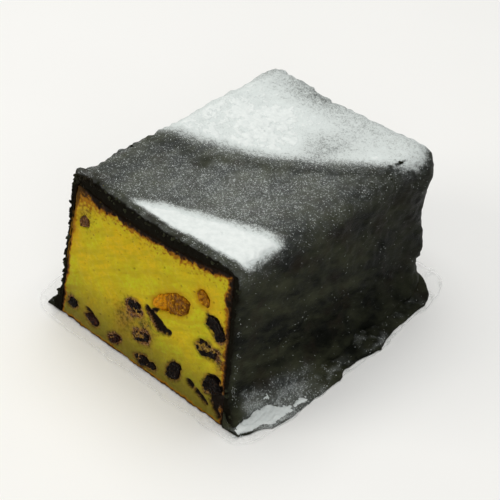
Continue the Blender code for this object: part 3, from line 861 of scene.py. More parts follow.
# %% [markdown]
# ## The glaze
# Poured chocolate drapes over the loaf like a sock over a foot: over the top, down both long
# sides and over the far end. A fine net is laid in the same way. Each of its points starts in
# the loaf's core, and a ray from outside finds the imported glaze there, so the net follows the
# solid. Folds, drips and a ragged edge at the cut are then pressed into it.

# %% Lay out the net's rays
STEP = 1.0 * MM
ROUND = 6.5 * MM  # the radius of the glaze's top and far edges
CORE_TOP = GLAZE_HEIGHT - ROUND


def glaze_half(z):
    """Half the width of the glazed loaf at a level."""
    return GLAZE_BASE_HALF + (GLAZE_TOP_HALF - GLAZE_BASE_HALF) * z / GLAZE_HEIGHT


def section_rays():
    """Core points and ways out, from the left foot over the top to the right foot."""
    wall = np.linspace(0, CORE_TOP, round(CORE_TOP / STEP) + 1)
    arc = np.radians(np.linspace(0, 90, 11))[1:-1]
    steps = round(2 * (GLAZE_TOP_HALF - ROUND) / STEP) + 1
    across = np.linspace(-1, 1, steps) * (glaze_half(CORE_TOP) - ROUND)
    left = [(-(glaze_half(z) - ROUND), z, -1.0, 0.0) for z in wall]
    left += [(-(glaze_half(CORE_TOP) - ROUND), CORE_TOP, -math.cos(a), math.sin(a)) for a in arc]
    top = [(x, CORE_TOP, 0.0, 1.0) for x in across]
    right = [(-x, z, -way_x, way_z) for x, z, way_x, way_z in reversed(left)]
    return np.array(left + top + right)


section = section_rays()
columns = len(section)
print("columns round the section:", columns)

# %% Cast the rays
CAP_ROWS = 58
AIM_LIFT = 0.25 * MM  # rays are aimed at least this far above the base
AIM_INSET = 1.7 * MM  # and at least this far behind the cut


def far_core(z):
    """Where the core ends at the far end, at a level."""
    return FAR_Y - ROUND + FAR_TAPER * (1 - z / CURD_HEIGHT)


def net_row(kind, share):
    """Core points and ways out of one row: along the loaf, round its far edge, or on its end."""
    x, z = section[:, 0], section[:, 1]
    way = xyz(section[:, 2], 0, section[:, 3])
    if kind == "along":
        near = cut_plane(z)
        core = xyz(x, near + (far_core(z) - near) * share, z)
    elif kind == "edge":
        turn = math.radians(90 * share)
        core = xyz(x, far_core(z), z)
        way = way * math.cos(turn) + np.array([0, math.sin(turn), 0])
    else:
        core = xyz(x * (1 - share), far_core(z * (1 - share)), z * (1 - share))
        way = np.tile([0.0, 1.0, 0.0], (columns, 1))
    return core, way


def cast_rows(rows, tree, margin):
    """Where rays from outside, aimed at the core, first meet a solid, and how many miss it."""
    net, missed = [], 0
    for kind, share in rows:
        core, way = net_row(kind, share)
        found = np.empty_like(core)
        for i in range(columns):
            aim, out = Vector(core[i]), Vector(way[i])
            aim.z = max(aim.z, AIM_LIFT) + BASE_LEVEL
            aim.y = max(aim.y, cut_plane(aim.z) + AIM_INSET)
            hit = tree.ray_cast(aim + out * 40 * MM, -out, 60 * MM)[0]
            missed += hit is None
            found[i] = (hit or aim + out * ROUND) + out * margin
        if kind == "along":
            found[:, 1] = core[:, 1]
        found[[0, -1], 2] = BASE_LEVEL
        net.append(found)
    return np.array(net), missed


along_rows = round((LENGTH - ROUND) / STEP)
outer_rows = [("along", i / along_rows) for i in range(along_rows + 1)]
outer_rows += [("edge", i / 8) for i in range(1, 9)]
outer_rows += [("end", 0.985 * i / CAP_ROWS) for i in range(1, CAP_ROWS + 1)]
outer, missed = cast_rows(outer_rows, cad_glaze, 0.0)
print("outer rows:", len(outer), "rays that missed:", missed)

# %% Smooth the net, so that the solid's flat faces don't show
def smooth_net(net, passes):
    """Evens a net of points. Its ends keep their place, and its sides keep their level."""
    for _ in range(passes):
        new = net.copy()
        new[1:-1] = 0.25 * net[:-2] + 0.5 * net[1:-1] + 0.25 * net[2:]
        net = new.copy()
        net[:, 1:-1] = 0.25 * new[:, :-2] + 0.5 * new[:, 1:-1] + 0.25 * new[:, 2:]
        net[:, [0, -1], 2] = BASE_LEVEL
    return net


def net_normals(net, row):
    """The ways out of a net, so turned that they point up at the middle of the given row."""
    normal = np.cross(np.gradient(net, axis=1), np.gradient(net, axis=0))
    normal /= np.maximum(np.linalg.norm(normal, axis=2, keepdims=True), 1e-12)
    return normal * np.sign(normal[row, net.shape[1] // 2, 2])


ON_TOP = 20  # a row that crosses the flat top
cut_line = outer[0, :, 1].copy()
outer = smooth_net(outer, 10)
outer[0, :, 1] = cut_line
normals = net_normals(outer, ON_TOP)
print("mean way out at the top:", [round(float(c), 2) for c in normals[ON_TOP, columns // 2]])

# %% Fold and drip the skin
def glaze_relief(points, normal):
    """How far the set glaze stands out of its mean surface, in metres."""
    x, y, z = points.T
    from_cut = y - CUT_Y
    wall = 1 - ease(0.5, 0.85, np.abs(normal[:, 2]))
    run, fall = tilted(y, z, math.radians(-35))
    ran = xyz(x, run / 3.2, fall)
    folds = 1 - 2 * np.abs(rough(ran, 10, 61))
    fine_folds = 1 - 2 * np.abs(rough(ran, 3.4, 62))
    drips = rough(xyz(x, y, z / 4), 7, 63)
    lumps = rough(points, 4.2, 64)
    grain = rough(points, 1.9, 65)
    relief = wall * (0.85 * folds + 0.42 * fine_folds + 0.24 * drips)
    relief += (0.10 + 0.32 * wall) * lumps + (0.06 + 0.08 * wall) * grain
    relief += (1 - wall) * 0.16 * rough(points, 11, 66)
    # A dimple in the top, and the long edges, worn most at the near left and at the far end.
    relief -= 0.7 * (1 - wall) * bell(np.hypot(x + 17 * MM, from_cut - 47.5 * MM), 0, 3.4 * MM)
    bend = bell(normal[:, 2], 0.6, 0.35)
    worn = 0.5 + 1.0 * (x < 0) * (1 - ease(60 * MM, 75 * MM, from_cut))
    worn += 1.3 * ease(0.86, 0.95, from_cut / LENGTH)
    relief += bend * (0.6 + 0.35 * (x < 0)) * rough(points, 3.4, 68) * worn
    # A small horn at the upper left of the cut, and two bulges at the far right corner.
    from_horn = np.hypot(np.hypot(x + 49 * MM, z - 83 * MM), from_cut - 1.0 * MM)
    relief += 3.2 * bell(from_horn, 0, 3.4 * MM)
    from_corner = np.hypot(x - 50 * MM, from_cut - 139 * MM)
    relief += 2.0 * bell(from_corner, 0, 10 * MM) * bell(z, 68 * MM, 9 * MM)
    relief += 2.6 * bell(from_corner, 2 * MM, 11 * MM) * bell(z, 24 * MM, 8 * MM)
    relief -= 3.0 * bell(np.hypot(from_corner, z - 84 * MM), 0, 5.5 * MM)
    low = 1 - ease(8 * MM, 20 * MM, z)
    relief += low * 0.35 * rough(points, 6, 67)
    return relief * MM


relief = glaze_relief(outer.reshape(-1, 3), normals.reshape(-1, 3)).reshape(outer.shape[:2])
from_side = np.arange(columns)
steady = ease(0, 3, np.arange(len(outer)))[:, None] * ease(0, 4, from_side) * ease(0, 4, from_side[::-1])
outer = outer + normals * (relief * (0.35 + 0.65 * steady))[:, :, None]
outer[:, :, 2] = np.maximum(outer[:, :, 2], BASE_LEVEL)
outer[:, [0, -1], 2] = BASE_LEVEL
print("relief of the glaze in mm:", round(float(relief.min() / MM), 2), round(float(relief.max() / MM), 2))

# %% The ragged edge at the cut
BAND_ROWS = 7
edge_line = outer[0].copy()
snag = rough(edge_line, 2.6, 71)
chip = np.clip(rough(edge_line, 1.5, 72), 0, 1)
for row, share in enumerate((1.0, 0.8, 0.45, 0.2)):
    back = (0.8 * snag + 1.6 * chip) * share * MM
    outer[row, 1:-1, 1] += back[1:-1]
    outer[row, 1:-1] -= normals[row, 1:-1] * (0.7 * chip[1:-1, None] * share * MM)
inner_rows = [("along", share) for share in (0.0, 0.012, 0.04, 0.1, 0.25, 0.45, 0.65, 0.85, 1.0)]
inner_rows += [("edge", 0.5), ("edge", 1.0)] + [("end", share) for share in (0.2, 0.4, 0.6, 0.8, 0.985)]
inner, missed = cast_rows(inner_rows, cad_curd, 0.25 * MM)
band = []
for i in range(1, BAND_ROWS + 1):
    share = i / (BAND_ROWS + 1)
    row = inner[0] * (1 - share) + outer[0] * share
    torn = 0.55 * rough(row, 2.1, 73) + 0.35 * rough(row, 0.9, 74)
    row[1:-1, 1] -= torn[1:-1] * MM
    band.append(row)
band = np.array(band)
print("inner rays that missed:", missed, "band rows:", len(band))

# %% [markdown]
# ## Where the sugar fell
# The sieve was shaken twice: once over the far half, up to a slanting border, and once along the
# near right edge. Between them lies a grey haze, and at the right foot a heap slid down. One
# function says how much sugar lies at a place on the glaze. Its finish, the thickness of the
# powder on the top and the number of grains all read it, so they agree.

# %% The amount of sugar
def dusting(points, normal):
    """From 0, bare glaze, to 1, a full cover of sugar."""
    x, y, z = (points / MM).T
    y = y - CUT_Y / MM
    up = ease(-0.05, 0.75, normal[:, 2])
    wide, close = rough(points, 9, 84), rough(points, 3.4, 85)
    wobble = 1.6 * rough(points, 7, 81) + 1.1 * rough(points, 2.4, 82)
    # The far field lies behind a slanting border. It is thinner in two places and far back.
    far_border = 69 + 0.64 * x + 0.004 * x * x + wobble
    thick = 0.91 - 0.04 * ease(-5, 30, x) + 0.06 * blob(x, y, -18, 95, 22, 24)
    thinned = (0.30 + 0.3 * close) * blob(x, y, 13, 101, 10, 14)
    thinned += (0.23 - 0.07 * ease(10, 34, x)) * ease(108, 138, y + 6 * wide)
    thick -= thinned
    thick -= (0.22 + 0.3 * close) * blob(x, y, -19, 134, 13, 9) + 0.12 * ease(-44, -49, x)
    thick += 0.08 * wide + 0.08 * close
    far = thick * ease(-4.0, 15.0, y - far_border)
    far *= 1 - 0.5 * ease(44, 50, x + 3 * close) * (1 - ease(108, 126, y + 8 * wide))
    # Glaze flaked off along the right edge, and the far right corner is bare.
    flaked = bell(x, 46.5, 4.6) * ease(76, 86, y) * (1 - ease(117, 124, y))
    flaked *= ease(0.04, 0.20, rough(points * [1.0, 0.40, 1.0], 1.7, 86))
    far *= 1 - 0.92 * flaked
    far *= 1 - 0.85 * ease(-3.0, 2.0, x - 48 + 0.7 * (y - 136) + 1.5 * close)
    # The near field lies along the cut, and is widest at the right.
    near_border = np.maximum(17.5 + 0.53 * x - 0.0045 * x * x, 5.6 + 0.08 * (x + 20)) + 0.8 * wobble
    to_right = ease(0, 30, x)
    near = ease(-5.5, 7.5, near_border - y)
    near *= ease(0.0, 2.8 + 1.6 * to_right, y - 2.6 - 0.7 * to_right - 0.45 * wobble)
    near *= ease(-31, -14, x) * (1 - 0.8 * ease(44.5, 50.0, x + 1.5 * close))
    # The haze between them is thinner at the far border, and nearly bare in the dimple.
    haze = 0.240 + 0.045 * blob(x, y, 12, 38, 20, 24) + 0.04 * wide + 0.06 * close
    haze -= 0.05 * ease(-12, -40, x) + 0.05 * ease(28, 42, x)
    haze *= 1 - 0.6 * flaked
    haze *= 1 - 0.42 * bell(y - far_border, -4.5, 3.5)
    haze *= (1 - 0.65 * ease(43, 50, x)) * ease(1.5, 6.0, y)
    haze *= 1 - 0.8 * bell(np.hypot((x + 17.5) / 4.6, (y - 49) / 3.8) + 0.3 * close, 0, 1.0)
    top = np.maximum(np.maximum(far, near), haze) * up * ease(62, 78, z)
    # The walls have little, apart from the right foot.
    foot = (1 - ease(-6, 6, z - 13 + 0.12 * y - 1.8 * wobble)) * ease(0, 7, y)
    foot *= (1 - ease(36, 52, y + 5 * wide)) * (x > 0)
    mottled = ease(-0.35, 0.45, rough(points * [1.0, 0.7, 1.6], 5, 87) + 0.4 * close)
    side = 0.01 + 0.13 * ease(69, 84, z) * (1 + close) * (1 - 0.7 * ease(118, 134, y))
    side += (0.20 + 0.20 * mottled) * foot
    return np.clip(np.maximum(top, side), 0, 1)


outer_points = outer.reshape(-1, 3)
outer_dusting = dusting(outer_points, net_normals(outer, ON_TOP).reshape(-1, 3))
print("mean dusting:", round(float(outer_dusting.mean()), 3))

# %% Close the glaze into one shell
def close_shell(piece):
    """Turns the faces of a closed piece outwards, sharpens its edges, and measures it."""
    bm = bmesh.new()
    bm.from_mesh(piece.data)
    bmesh.ops.recalc_face_normals(bm, faces=bm.faces)
    open_edges = sum(not e.is_manifold for e in bm.edges)
    volume = bm.calc_volume(signed=True)
    bm.to_mesh(piece.data)
    bm.free()
    piece.data.shade_smooth()
    piece.data.set_sharp_from_angle(angle=math.radians(50))
    print(piece.name, "open edges:", open_edges, "volume in ml:", round(volume * 1e6, 1))


net = np.concatenate([inner[::-1], band, outer])
net_points = net.reshape(-1, 3)
torn_rows = len(inner) + len(band)
broken = np.repeat([1.0] * torn_rows + [0.7, 0.3] + [0.0] * (len(outer) - 2), columns)
# The inside of the cut edge is the curd's own brown crust, and the band shows some of it.
crusty = np.zeros(len(net_points))
crusty[:len(inner) * columns] = 1.0
in_band = slice(len(inner) * columns, torn_rows * columns)
band_share = np.repeat(np.arange(1, BAND_ROWS + 1) / (BAND_ROWS + 1), columns)
band_x, _, band_z = net_points[in_band].T
on_top = ease(-GLAZE_TOP_HALF, -0.6 * GLAZE_TOP_HALF, band_x) * ease(66 * MM, 72 * MM, band_z)
in_crust = (1 - ease(0.02, 0.12 + 0.12 * on_top, band_share)) * (0.55 + 0.25 * on_top)
# On the left the curd's crust is torn out over the glaze, so there the brown reaches further.
on_left = (band_x < -0.9 * GLAZE_TOP_HALF) * bell(band_z, 47 * MM, 26 * MM)
reaches = 0.34 + 0.22 * rough(net_points[in_band], 3.6, 75)
torn_out = 1.75 * on_left * (1 - ease(reaches - 0.08, reaches + 0.10, band_share))
crusty[in_band] = np.maximum(in_crust, torn_out)

at = np.arange(len(net_points)).reshape(-1, columns)
faces = net_faces(len(net), columns, turned=True)
faces += [at[0, ::-1].tolist(), at[-1].tolist(), [*at[:, 0].tolist(), *at[::-1, -1].tolist()]]
glaze_coat = new_piece("glaze_coat", net_points, faces, chocolate, {
    "dusting": np.concatenate([np.zeros(torn_rows * columns), outer_dusting]),
    "broken": broken, "crusty": crusty})
close_shell(glaze_coat)

# %% [markdown]
# ## The powder
# Where the cover is full, sugar is a layer of its own, about a third of a millimetre deep, with a
# soft, clumped top and a border that breaks up into islands. It is laid as a fine net over the
# glaze from above, kept only where there is powder, and closed underneath.

# %% A layer from a map of depths
LEAST_DEPTH = 0.04 * MM  # thinner powder is left out
STEEPEST = 0.9 * MM      # and so is powder on a cell that rises by more than this
BURIED = 0.12 * MM       # how far the underside lies in the ground


def lay_powder(name, xs, ys, depth_at, ground):
    """A closed layer of powder on the ground, as deep as the map says."""
    grid_x, grid_y = np.meshgrid(xs, ys)
    places = xyz(grid_x.ravel(), grid_y.ravel(), 0.0)
    known = np.zeros(len(places), bool)
    upward = np.zeros((len(places), 3))
    for i, (x, y, _) in enumerate(places):
        hit, normal = ground.ray_cast(Vector((x, y, 0.2)), Vector((0, 0, -1)), 0.3)[:2]
        if hit:
            known[i] = True
            places[i, 2] = hit.z
            upward[i] = normal
    depth = np.where(known, depth_at(places, upward), 0)

    def around(values):
        """The values at the four corners of every cell."""
        grid = values.reshape(len(ys), len(xs))
        return np.stack([grid[:-1, :-1], grid[:-1, 1:], grid[1:, :-1], grid[1:, 1:]])

    kept = around((depth > LEAST_DEPTH) & known).any(axis=0) & around(known).all(axis=0)
    kept &= np.ptp(around(places[:, 2]), axis=0) < STEEPEST
    # Cells that touch only at a corner would pinch the shell, so one of each such pair goes.
    for _ in range(4):
        slant = kept[:-1, :-1] & kept[1:, 1:] & ~kept[:-1, 1:] & ~kept[1:, :-1]
        kept[1:, 1:][slant] = False
        slant = kept[:-1, 1:] & kept[1:, :-1] & ~kept[:-1, :-1] & ~kept[1:, 1:]
        kept[1:, :-1][slant] = False
    top_of, bottom_of, points, faces, walls = {}, {}, [], [], {}

    def corner(index, store, rise):
        """The number of the point over a place of the grid, made when first asked for."""
        if index not in store:
            store[index] = len(points)
            points.append(places[index] + [0, 0, rise])
        return store[index]

    for j, i in np.argwhere(kept):
        first = j * len(xs) + i
        ring = [first, first + 1, first + len(xs) + 1, first + len(xs)]
        upper = [corner(k, top_of, max(depth[k], 0.0)) for k in ring]
        lower = [corner(k, bottom_of, -BURIED) for k in ring]
        faces += [upper, lower[::-1]]
        for a, b in zip(ring, ring[1:] + ring[:1]):
            if (b, a) in walls:
                del walls[(b, a)]
            else:
                walls[(a, b)] = True
    faces += [(top_of[b], top_of[a], bottom_of[a], bottom_of[b]) for a, b in walls]
    return new_piece(name, points, faces, icing_sugar)


def top_depth(places, upward):
    """How deep the powder lies on the top."""
    amount = dusting(places, np.tile([0.0, 0.0, 1.0], (len(places), 1)))
    clumps = 0.16 * rough(places, 2.6, 91) + 0.26 * rough(places, 0.95, 92)
    cover = ease(0.92, 1.06, amount + 0.30 * clumps)
    soft = 1 + 0.25 * rough(places, 6, 93) + 0.15 * rough(places, 1.4, 94)
    return 0.34 * MM * cover * soft * (np.abs(places[:, 0]) < 49.5 * MM) * (upward[:, 2] > 0.3)


powder_x = np.arange(-49.0, 49.5, 0.5) * MM
powder_y = np.arange(0.6, 139.0, 0.5) * MM + CUT_Y
sugar_powder = lay_powder("sugar_powder", powder_x, powder_y, top_depth, finder(glaze_coat))
print("powder corners:", len(sugar_powder.data.vertices))

# %% [markdown]
# ## The run-out at the foot
# Chocolate that reached the foot spread a little way over the film before it set. It is a thin
# skirt with a rounded lip and low lumps, a few millimetres high where it shows, so it is a thin
# piece of its own and not part of the solid. A table says how far it came along the right side,
# and noise says so elsewhere. It starts inside the foot, so the two run into each other.

# %% Lay out the run-out
REACHED = np.array([  # along from the cut, and across, in mm
    (-6, 60.2), (0, 63.8), (8, 66.0), (12, 68.6), (20, 70.0), (30, 70.3), (44, 70.6), (60, 70.6), (66, 68.2),
    (73, 68.4), (80, 71.0), (90, 71.2), (97, 69.2), (105, 67.2), (118, 66.8), (130, 66.2), (140, 62.0)])
foot_line = np.concatenate([outer[:, -1, :2], outer[::-1, 0, :2]])
gone = np.concatenate([[0.0], np.cumsum(np.linalg.norm(np.diff(foot_line, axis=0), axis=1))])
steps = np.arange(0, gone[-1], 0.8 * MM)
foot_line = np.stack([np.interp(steps, gone, foot_line[:, k]) for k in (0, 1)], 1) / MM
for _ in range(40):
    foot_line[1:-1] = 0.25 * foot_line[:-2] + 0.5 * foot_line[1:-1] + 0.25 * foot_line[2:]
going = np.gradient(foot_line, axis=0)
outwards = np.stack([going[:, 1], -going[:, 0]], 1) / np.linalg.norm(going, axis=1)[:, None]
foot_x, foot_y = foot_line.T
along_cut = foot_y - CUT_Y / MM
on_line = xyz(foot_x, foot_y, 0) * MM
at_right = ease(20, 45, foot_x) * (1 - ease(126, 142, along_cut))
reach = 3.2 + 1.8 * rough(on_line, 15, 141)
reach = at_right * (np.interp(along_cut, *REACHED.T) - foot_x) + (1 - at_right) * reach
reach += 0.8 * rough(on_line, 7, 142) + 0.4 * rough(on_line, 2.8, 143)
reach += 3.6 * bell(along_cut, 137, 7) * ease(30, 50, foot_x)
reach = np.maximum(reach, 0.8)
swells = 0.8 * bell(along_cut, 30, 9) + 1.6 * bell(along_cut, 53, 9) + 2.1 * bell(along_cut, 86, 8)
low_high = 1.3 + at_right * swells
low_high += 0.6 * rough(on_line, 10, 144)
print("run-out in mm, least and most:", round(float(reach.min()), 1), round(float(reach.max()), 1))

# %% Build the run-out
RUN_IN = 6.0     # all in mm: how far inside the foot it starts,
RUN_HIGH = 8.5   # how high it is there,
RUN_LIP = 2.0    # how wide its rounded lip is,
ON_FILM = 0.45   # and the level of its underside
ACROSS_RUN = (0, .1, .2, .3, .39, .47, .54, .61, .67, .73, .78, .83, .87, .91, .94, .965, .985, 1.0)
run_rows = []
for share in ACROSS_RUN:
    r = -RUN_IN + (reach + RUN_IN) * share
    spot = foot_line + outwards * r[:, None]
    flat_spot = xyz(*spot.T, 0) * MM
    high = low_high + (RUN_HIGH - low_high) * np.exp(-(r + RUN_IN) / 3.4)
    high *= 1 + 0.30 * rough(flat_spot, 6, 145) + 0.22 * rough(flat_spot, 2.4, 146)
    lip = np.clip((reach - r) / RUN_LIP, 0, 1)
    high *= np.sqrt(1 - (1 - lip) ** 2)
    run_rows.append(xyz(*spot.T, ON_FILM + high) * MM)
run_top = np.array(run_rows)
run_net = np.array([*run_rows, run_rows[0] * [1, 1, 0] + [0, 0, ON_FILM * MM]])
run_wide = len(foot_line)
run_points = run_top.reshape(-1, 3)
run_up = net_normals(run_top, 3).reshape(-1, 3)
run_x, run_y = run_points[:, 0] / MM, (run_points[:, 1] - CUT_Y) / MM
facing_up = ease(0.2, 0.8, run_up[:, 2])
# A thin sugar cover on the swells is partly loose sugar and partly painted sheen, and some sugar
# is spilt beside the heap.
sheen = (bell(run_y, 55, 12) + bell(run_y, 90, 9) + 0.6 * bell(run_y, 122, 10)) * (run_x > 0)
sheen *= ease(-0.25, 0.45, rough(run_points, 4, 147)) * facing_up
spilt = bell(run_y, 15, 22) * ease(55, 60, run_x) * facing_up
spilt *= 0.42 + 0.30 * rough(run_points, 2.2, 148)
run_dusting = np.maximum(np.maximum(dusting(run_points, run_up), 0.26 * sheen), spilt)
run_values = np.concatenate([run_dusting, np.zeros(run_wide)])

at = np.arange(run_net.size // 3).reshape(-1, run_wide)
run_faces = net_faces(len(run_net), run_wide, wrap=(1, 0), turned=True)
run_faces += [at[:, 0].tolist(), at[::-1, -1].tolist()]
glaze_run_out = new_piece("glaze_run_out", run_net.reshape(-1, 3), run_faces, chocolate, {
    "dusting": run_values, "broken": 0 * run_values, "crusty": 0 * run_values})
close_shell(glaze_run_out)

# %% [markdown]
# ## The clear film
# The loaf stands on a sheet of film, cut a little larger than its foot. Under the loaf it is
# pressed flat. Outside the foot it is free, so it crinkles and lifts. It is made as rings round
# a flat middle: each ring lies further out, and creases grow with the distance from the foot.

# %% Lay out the film
FILM_HALF = 65.5 * MM
FILM_NEAR = CUT_Y - 6.5 * MM
FILM_FAR = FAR_Y + 12.5 * MM
FILM_CORNER = 12 * MM
FILM_NARROWING = 0.03  # the share of its width that it loses towards the far end
AROUND = 620


def film_outline():
    """Points round the film's flat part, and the way out at each."""
    half_y = (FILM_FAR - FILM_NEAR) / 2
    middle = (FILM_FAR + FILM_NEAR) / 2
    straight = (2 * (FILM_HALF - FILM_CORNER), 2 * (half_y - FILM_CORNER))
    arc = math.pi * FILM_CORNER / 2
    total = 2 * sum(straight) + 4 * arc
    places, ways = [], []
    for n in range(AROUND):
        length = total * n / AROUND
        for side, (sx, sy, angle) in enumerate(((1, -1, -90), (1, 1, 0), (-1, 1, 90), (-1, -1, 180))):
            centre = np.array([sx * (FILM_HALF - FILM_CORNER), sy * (half_y - FILM_CORNER)])
            start = math.radians(angle)
            if length < straight[side % 2]:
                out = np.array([math.cos(start), math.sin(start)])
                back = np.array([out[1], -out[0]]) * (straight[side % 2] - length)
                spot = centre + out * FILM_CORNER + back
                break
            length -= straight[side % 2]
            if length < arc:
                turn = start + length / FILM_CORNER
                out = np.array([math.cos(turn), math.sin(turn)])
                spot = centre + out * FILM_CORNER
                break
            length -= arc
        spot[0] *= 1 - FILM_NARROWING * (spot[1] + half_y) / (2 * half_y)
        places.append((spot[0], spot[1] + middle, 0.0))
        ways.append((out[0], out[1], 0.0))
    return np.array(places), np.array(ways)


outline, outward = film_outline()
print("film points round:", len(outline))

# %% Crinkle its fringe
RINGS = np.concatenate([np.linspace(-13, 0, 14), np.linspace(0.4, 4.6, 9)]) * MM
FILM_LEVEL = 0.30 * MM
FILM_WALL = 0.16 * MM
HIGHEST = 2.5 * MM


def film_ring(reach):
    """One ring of the film, this far out of the flat part's edge, and how white it is, from creases and
    painted glints.
    """
    free = ease(-5 * MM, 4.6 * MM, reach)
    swing = np.ones(AROUND)
    if reach > 0:
        swing += 0.30 * rough(outline, 13, 101)
        swing += 0.20 * rough(outline, 4.5, 102)
    ring = outline + outward * (reach * swing)[:, None]
    along = ring[:, 1] - CUT_Y
    push = (2.4 * bell(along, 86 * MM, 15 * MM) + 1.4 * bell(along, 42 * MM, 26 * MM)) * MM
    ring[:, 0] += push * ease(30 * MM, 55 * MM, ring[:, 0])
    sharp = 1 - np.abs(rough(ring, 9, 103)) * 2
    fine = 1 - np.abs(rough(ring, 3.2, 104)) * 2
    lift = (0.45 + 0.5 * sharp + 0.25 * fine) * 1.3 * MM * free
    gap = np.array([pressed_by.find_nearest(Vector(p), 0.1)[3] for p in ring])
    level = np.clip(lift, 0.0, None) * ease(0.4 * MM, 3.0 * MM, gap)
    ring[:, 2] = FILM_LEVEL + level
    crease_and_glint = np.clip(sharp * 0.9 + fine * 0.5 - 0.75, 0, 1) * free
    # Towards the right side the creases are whiter still, as painted glints.
    crease_and_glint *= 0.25 + 0.75 * ease(30 * MM, 56 * MM, ring[:, 0])
    return ring, crease_and_glint


pressed_by = finder(glaze_coat, glaze_run_out)
rings, crease_and_glint = (np.array(part) for part in zip(*[film_ring(reach) for reach in RINGS]))
# The outer edge is whitened as a painted glint.
crease_and_glint[-1] = 0.45
rings[:, :, 2] = np.minimum(rings[:, :, 2], HIGHEST)
film_points = np.concatenate([rings.reshape(-1, 3), rings.reshape(-1, 3) - [0, 0, FILM_WALL]])
under = len(RINGS) * AROUND
rim = under - AROUND + np.arange(AROUND)
after = np.roll(rim, -1)
film_faces = net_faces(len(RINGS), AROUND, wrap=(0, 1))
film_faces += net_faces(len(RINGS), AROUND, under, (0, 1), turned=True)
film_faces += np.stack([rim, under + rim, under + after, after], 1).tolist()
film_faces += [list(range(AROUND)), list(range(under, under + AROUND))[::-1]]
film_sheet = new_piece("film_sheet", film_points, film_faces, clear_film, {
    "crease_and_glint": np.tile(crease_and_glint.ravel(), 2)})
print("film height in mm:", round(float(rings[:, :, 2].max() / MM), 2))

# %% [markdown]
# ## The sugar heap at the right foot
# Sugar that missed the top slid down the right side. It lies as a low heap on the foot and on
# the film in front of it. The same layer maker gives it, over the foot and the film together.

# %% Heap the sugar
HEAP_OUTER = np.array([(-7, 60.0), (0, 62.8), (8, 64.4), (12, 66.6), (20, 68.4), (30, 68.2), (40, 69.4)])
HEAP_INNER = np.array([(-6, 58.8), (5, 58.2), (15, 57.4), (19, 57.2), (20.5, 64.0), (28, 66.0), (38, 67.8)])


def heap_depth(places, upward):
    """How deep the heap is. The two lines give its sides: along from the cut, and across, in mm."""
    x, y, z = (places / MM).T
    y = y - CUT_Y / MM
    wobble = rough(places, 5, 111)
    fine = rough(places, 1.3, 112)
    streak = rough(places * [2.5, 0.8, 1.0], 3, 113)
    inner_side = np.interp(y, *HEAP_INNER.T) - 1.0 * wobble - 1.5 * streak - 1.1 * fine
    outer_side = np.interp(y, *HEAP_OUTER.T) + 0.9 * wobble + 0.4 * fine
    amount = ease(-0.3, 0.8, x - inner_side) * (1 - ease(-0.5, 0.5, x - outer_side))
    amount *= ease(-6.5, -4.5, y) * (1 - ease(30, 39, y + 3 * wobble)) * (z < 8)
    return (0.62 + 0.45 * wobble + 0.75 * streak + 0.40 * fine) * MM * amount


heap_ground = finder(glaze_coat, glaze_run_out, film_sheet)
heap_x = np.arange(54.0, 71.2, 0.4) * MM
heap_y = np.arange(-7.0, 42.0, 0.4) * MM + CUT_Y
sugar_heap = lay_powder("sugar_heap", heap_x, heap_y, heap_depth, heap_ground)
print("heap corners:", len(sugar_heap.data.vertices))

# %% [markdown]
# ## Grains and crumbs
# Loose grains of sugar lie wherever the sieve reached. Chocolate crumbs stick along the cut edge
# and the long edges of the top, and a few crumbs of curd lie near the cut. Each kind repeats one
# small shape many times, so a node tree strews it: it scatters points over a host surface, as
# densely as a value on the host says, puts a turned and scaled grain on each, and makes it real.

# %% The tree that strews
def make_strewing_tree():
    tree, add, given = new_tree("strewn_grains", {
        "Most per square metre": "Float", "Smallest": "Float", "Largest": "Float", "Rounds": "Int",
        "Unevenness": "Float", "Sunk share": "Float", "Seed": "Int"})
    seed = given["Seed"]
    amount = add("GeometryNodeInputNamedAttribute", {"Name": "strewn"}, data_type="FLOAT")
    density = add("Math", [amount, given["Most per square metre"]], operation="MULTIPLY")
    points = add("GeometryNodeDistributePointsOnFaces", {
        "Mesh": given["Geometry"], "Density": density, "Seed": seed}, distribute_method="RANDOM")
    # One uneven ball is the grain.
    ball = add("GeometryNodeMeshIcoSphere", {"Radius": 0.5, "Subdivisions": given["Rounds"]})
    bumps = add("TexNoise", {"Scale": 1.9, "Detail": 1.0}).outputs["Color"]
    push = add("VectorMath", [bumps, (0.5, 0.5, 0.5)], operation="SUBTRACT")
    push = add("VectorMath", {0: push, 3: given["Unevenness"]}, operation="SCALE")
    grain = add("GeometryNodeSetPosition", {"Geometry": ball, "Offset": push})
    # Every copy has its own turn, squeeze and size, and small ones are the most common.
    turn = add("FunctionNodeRandomValue", {
        0: (0.0, 0.0, 0.0), 1: (6.28, 6.28, 6.28), "Seed": seed}, data_type="FLOAT_VECTOR")
    squeeze = add("FunctionNodeRandomValue", {
        0: (0.7, 0.7, 0.6), 1: (1.25, 1.1, 1.0), "Seed": seed}, data_type="FLOAT_VECTOR")
    share = add("FunctionNodeRandomValue", {"Seed": seed}, data_type="FLOAT")
    share = add("Math", [share, 2.2], operation="POWER")
    span = add("Math", [given["Largest"], given["Smallest"]], operation="SUBTRACT")
    size = add("Math", [share, span, given["Smallest"]], operation="MULTIPLY_ADD")
    scale = add("VectorMath", {0: squeeze, 3: size}, operation="SCALE")
    depth = add("Math", [size, given["Sunk share"]], operation="MULTIPLY")
    lift = add("VectorMath", {0: points.outputs["Normal"], 3: depth}, operation="SCALE")
    laid = add("GeometryNodeSetPosition", {"Geometry": points, "Offset": lift})
    copies = add("GeometryNodeInstanceOnPoints", {
        "Points": laid, "Instance": grain, "Rotation": turn, "Scale": scale})
    end_tree(add, copies, given["Finish"])
    return tree


strewing = make_strewing_tree()
print("nodes in the strewing tree:", len(strewing.nodes))

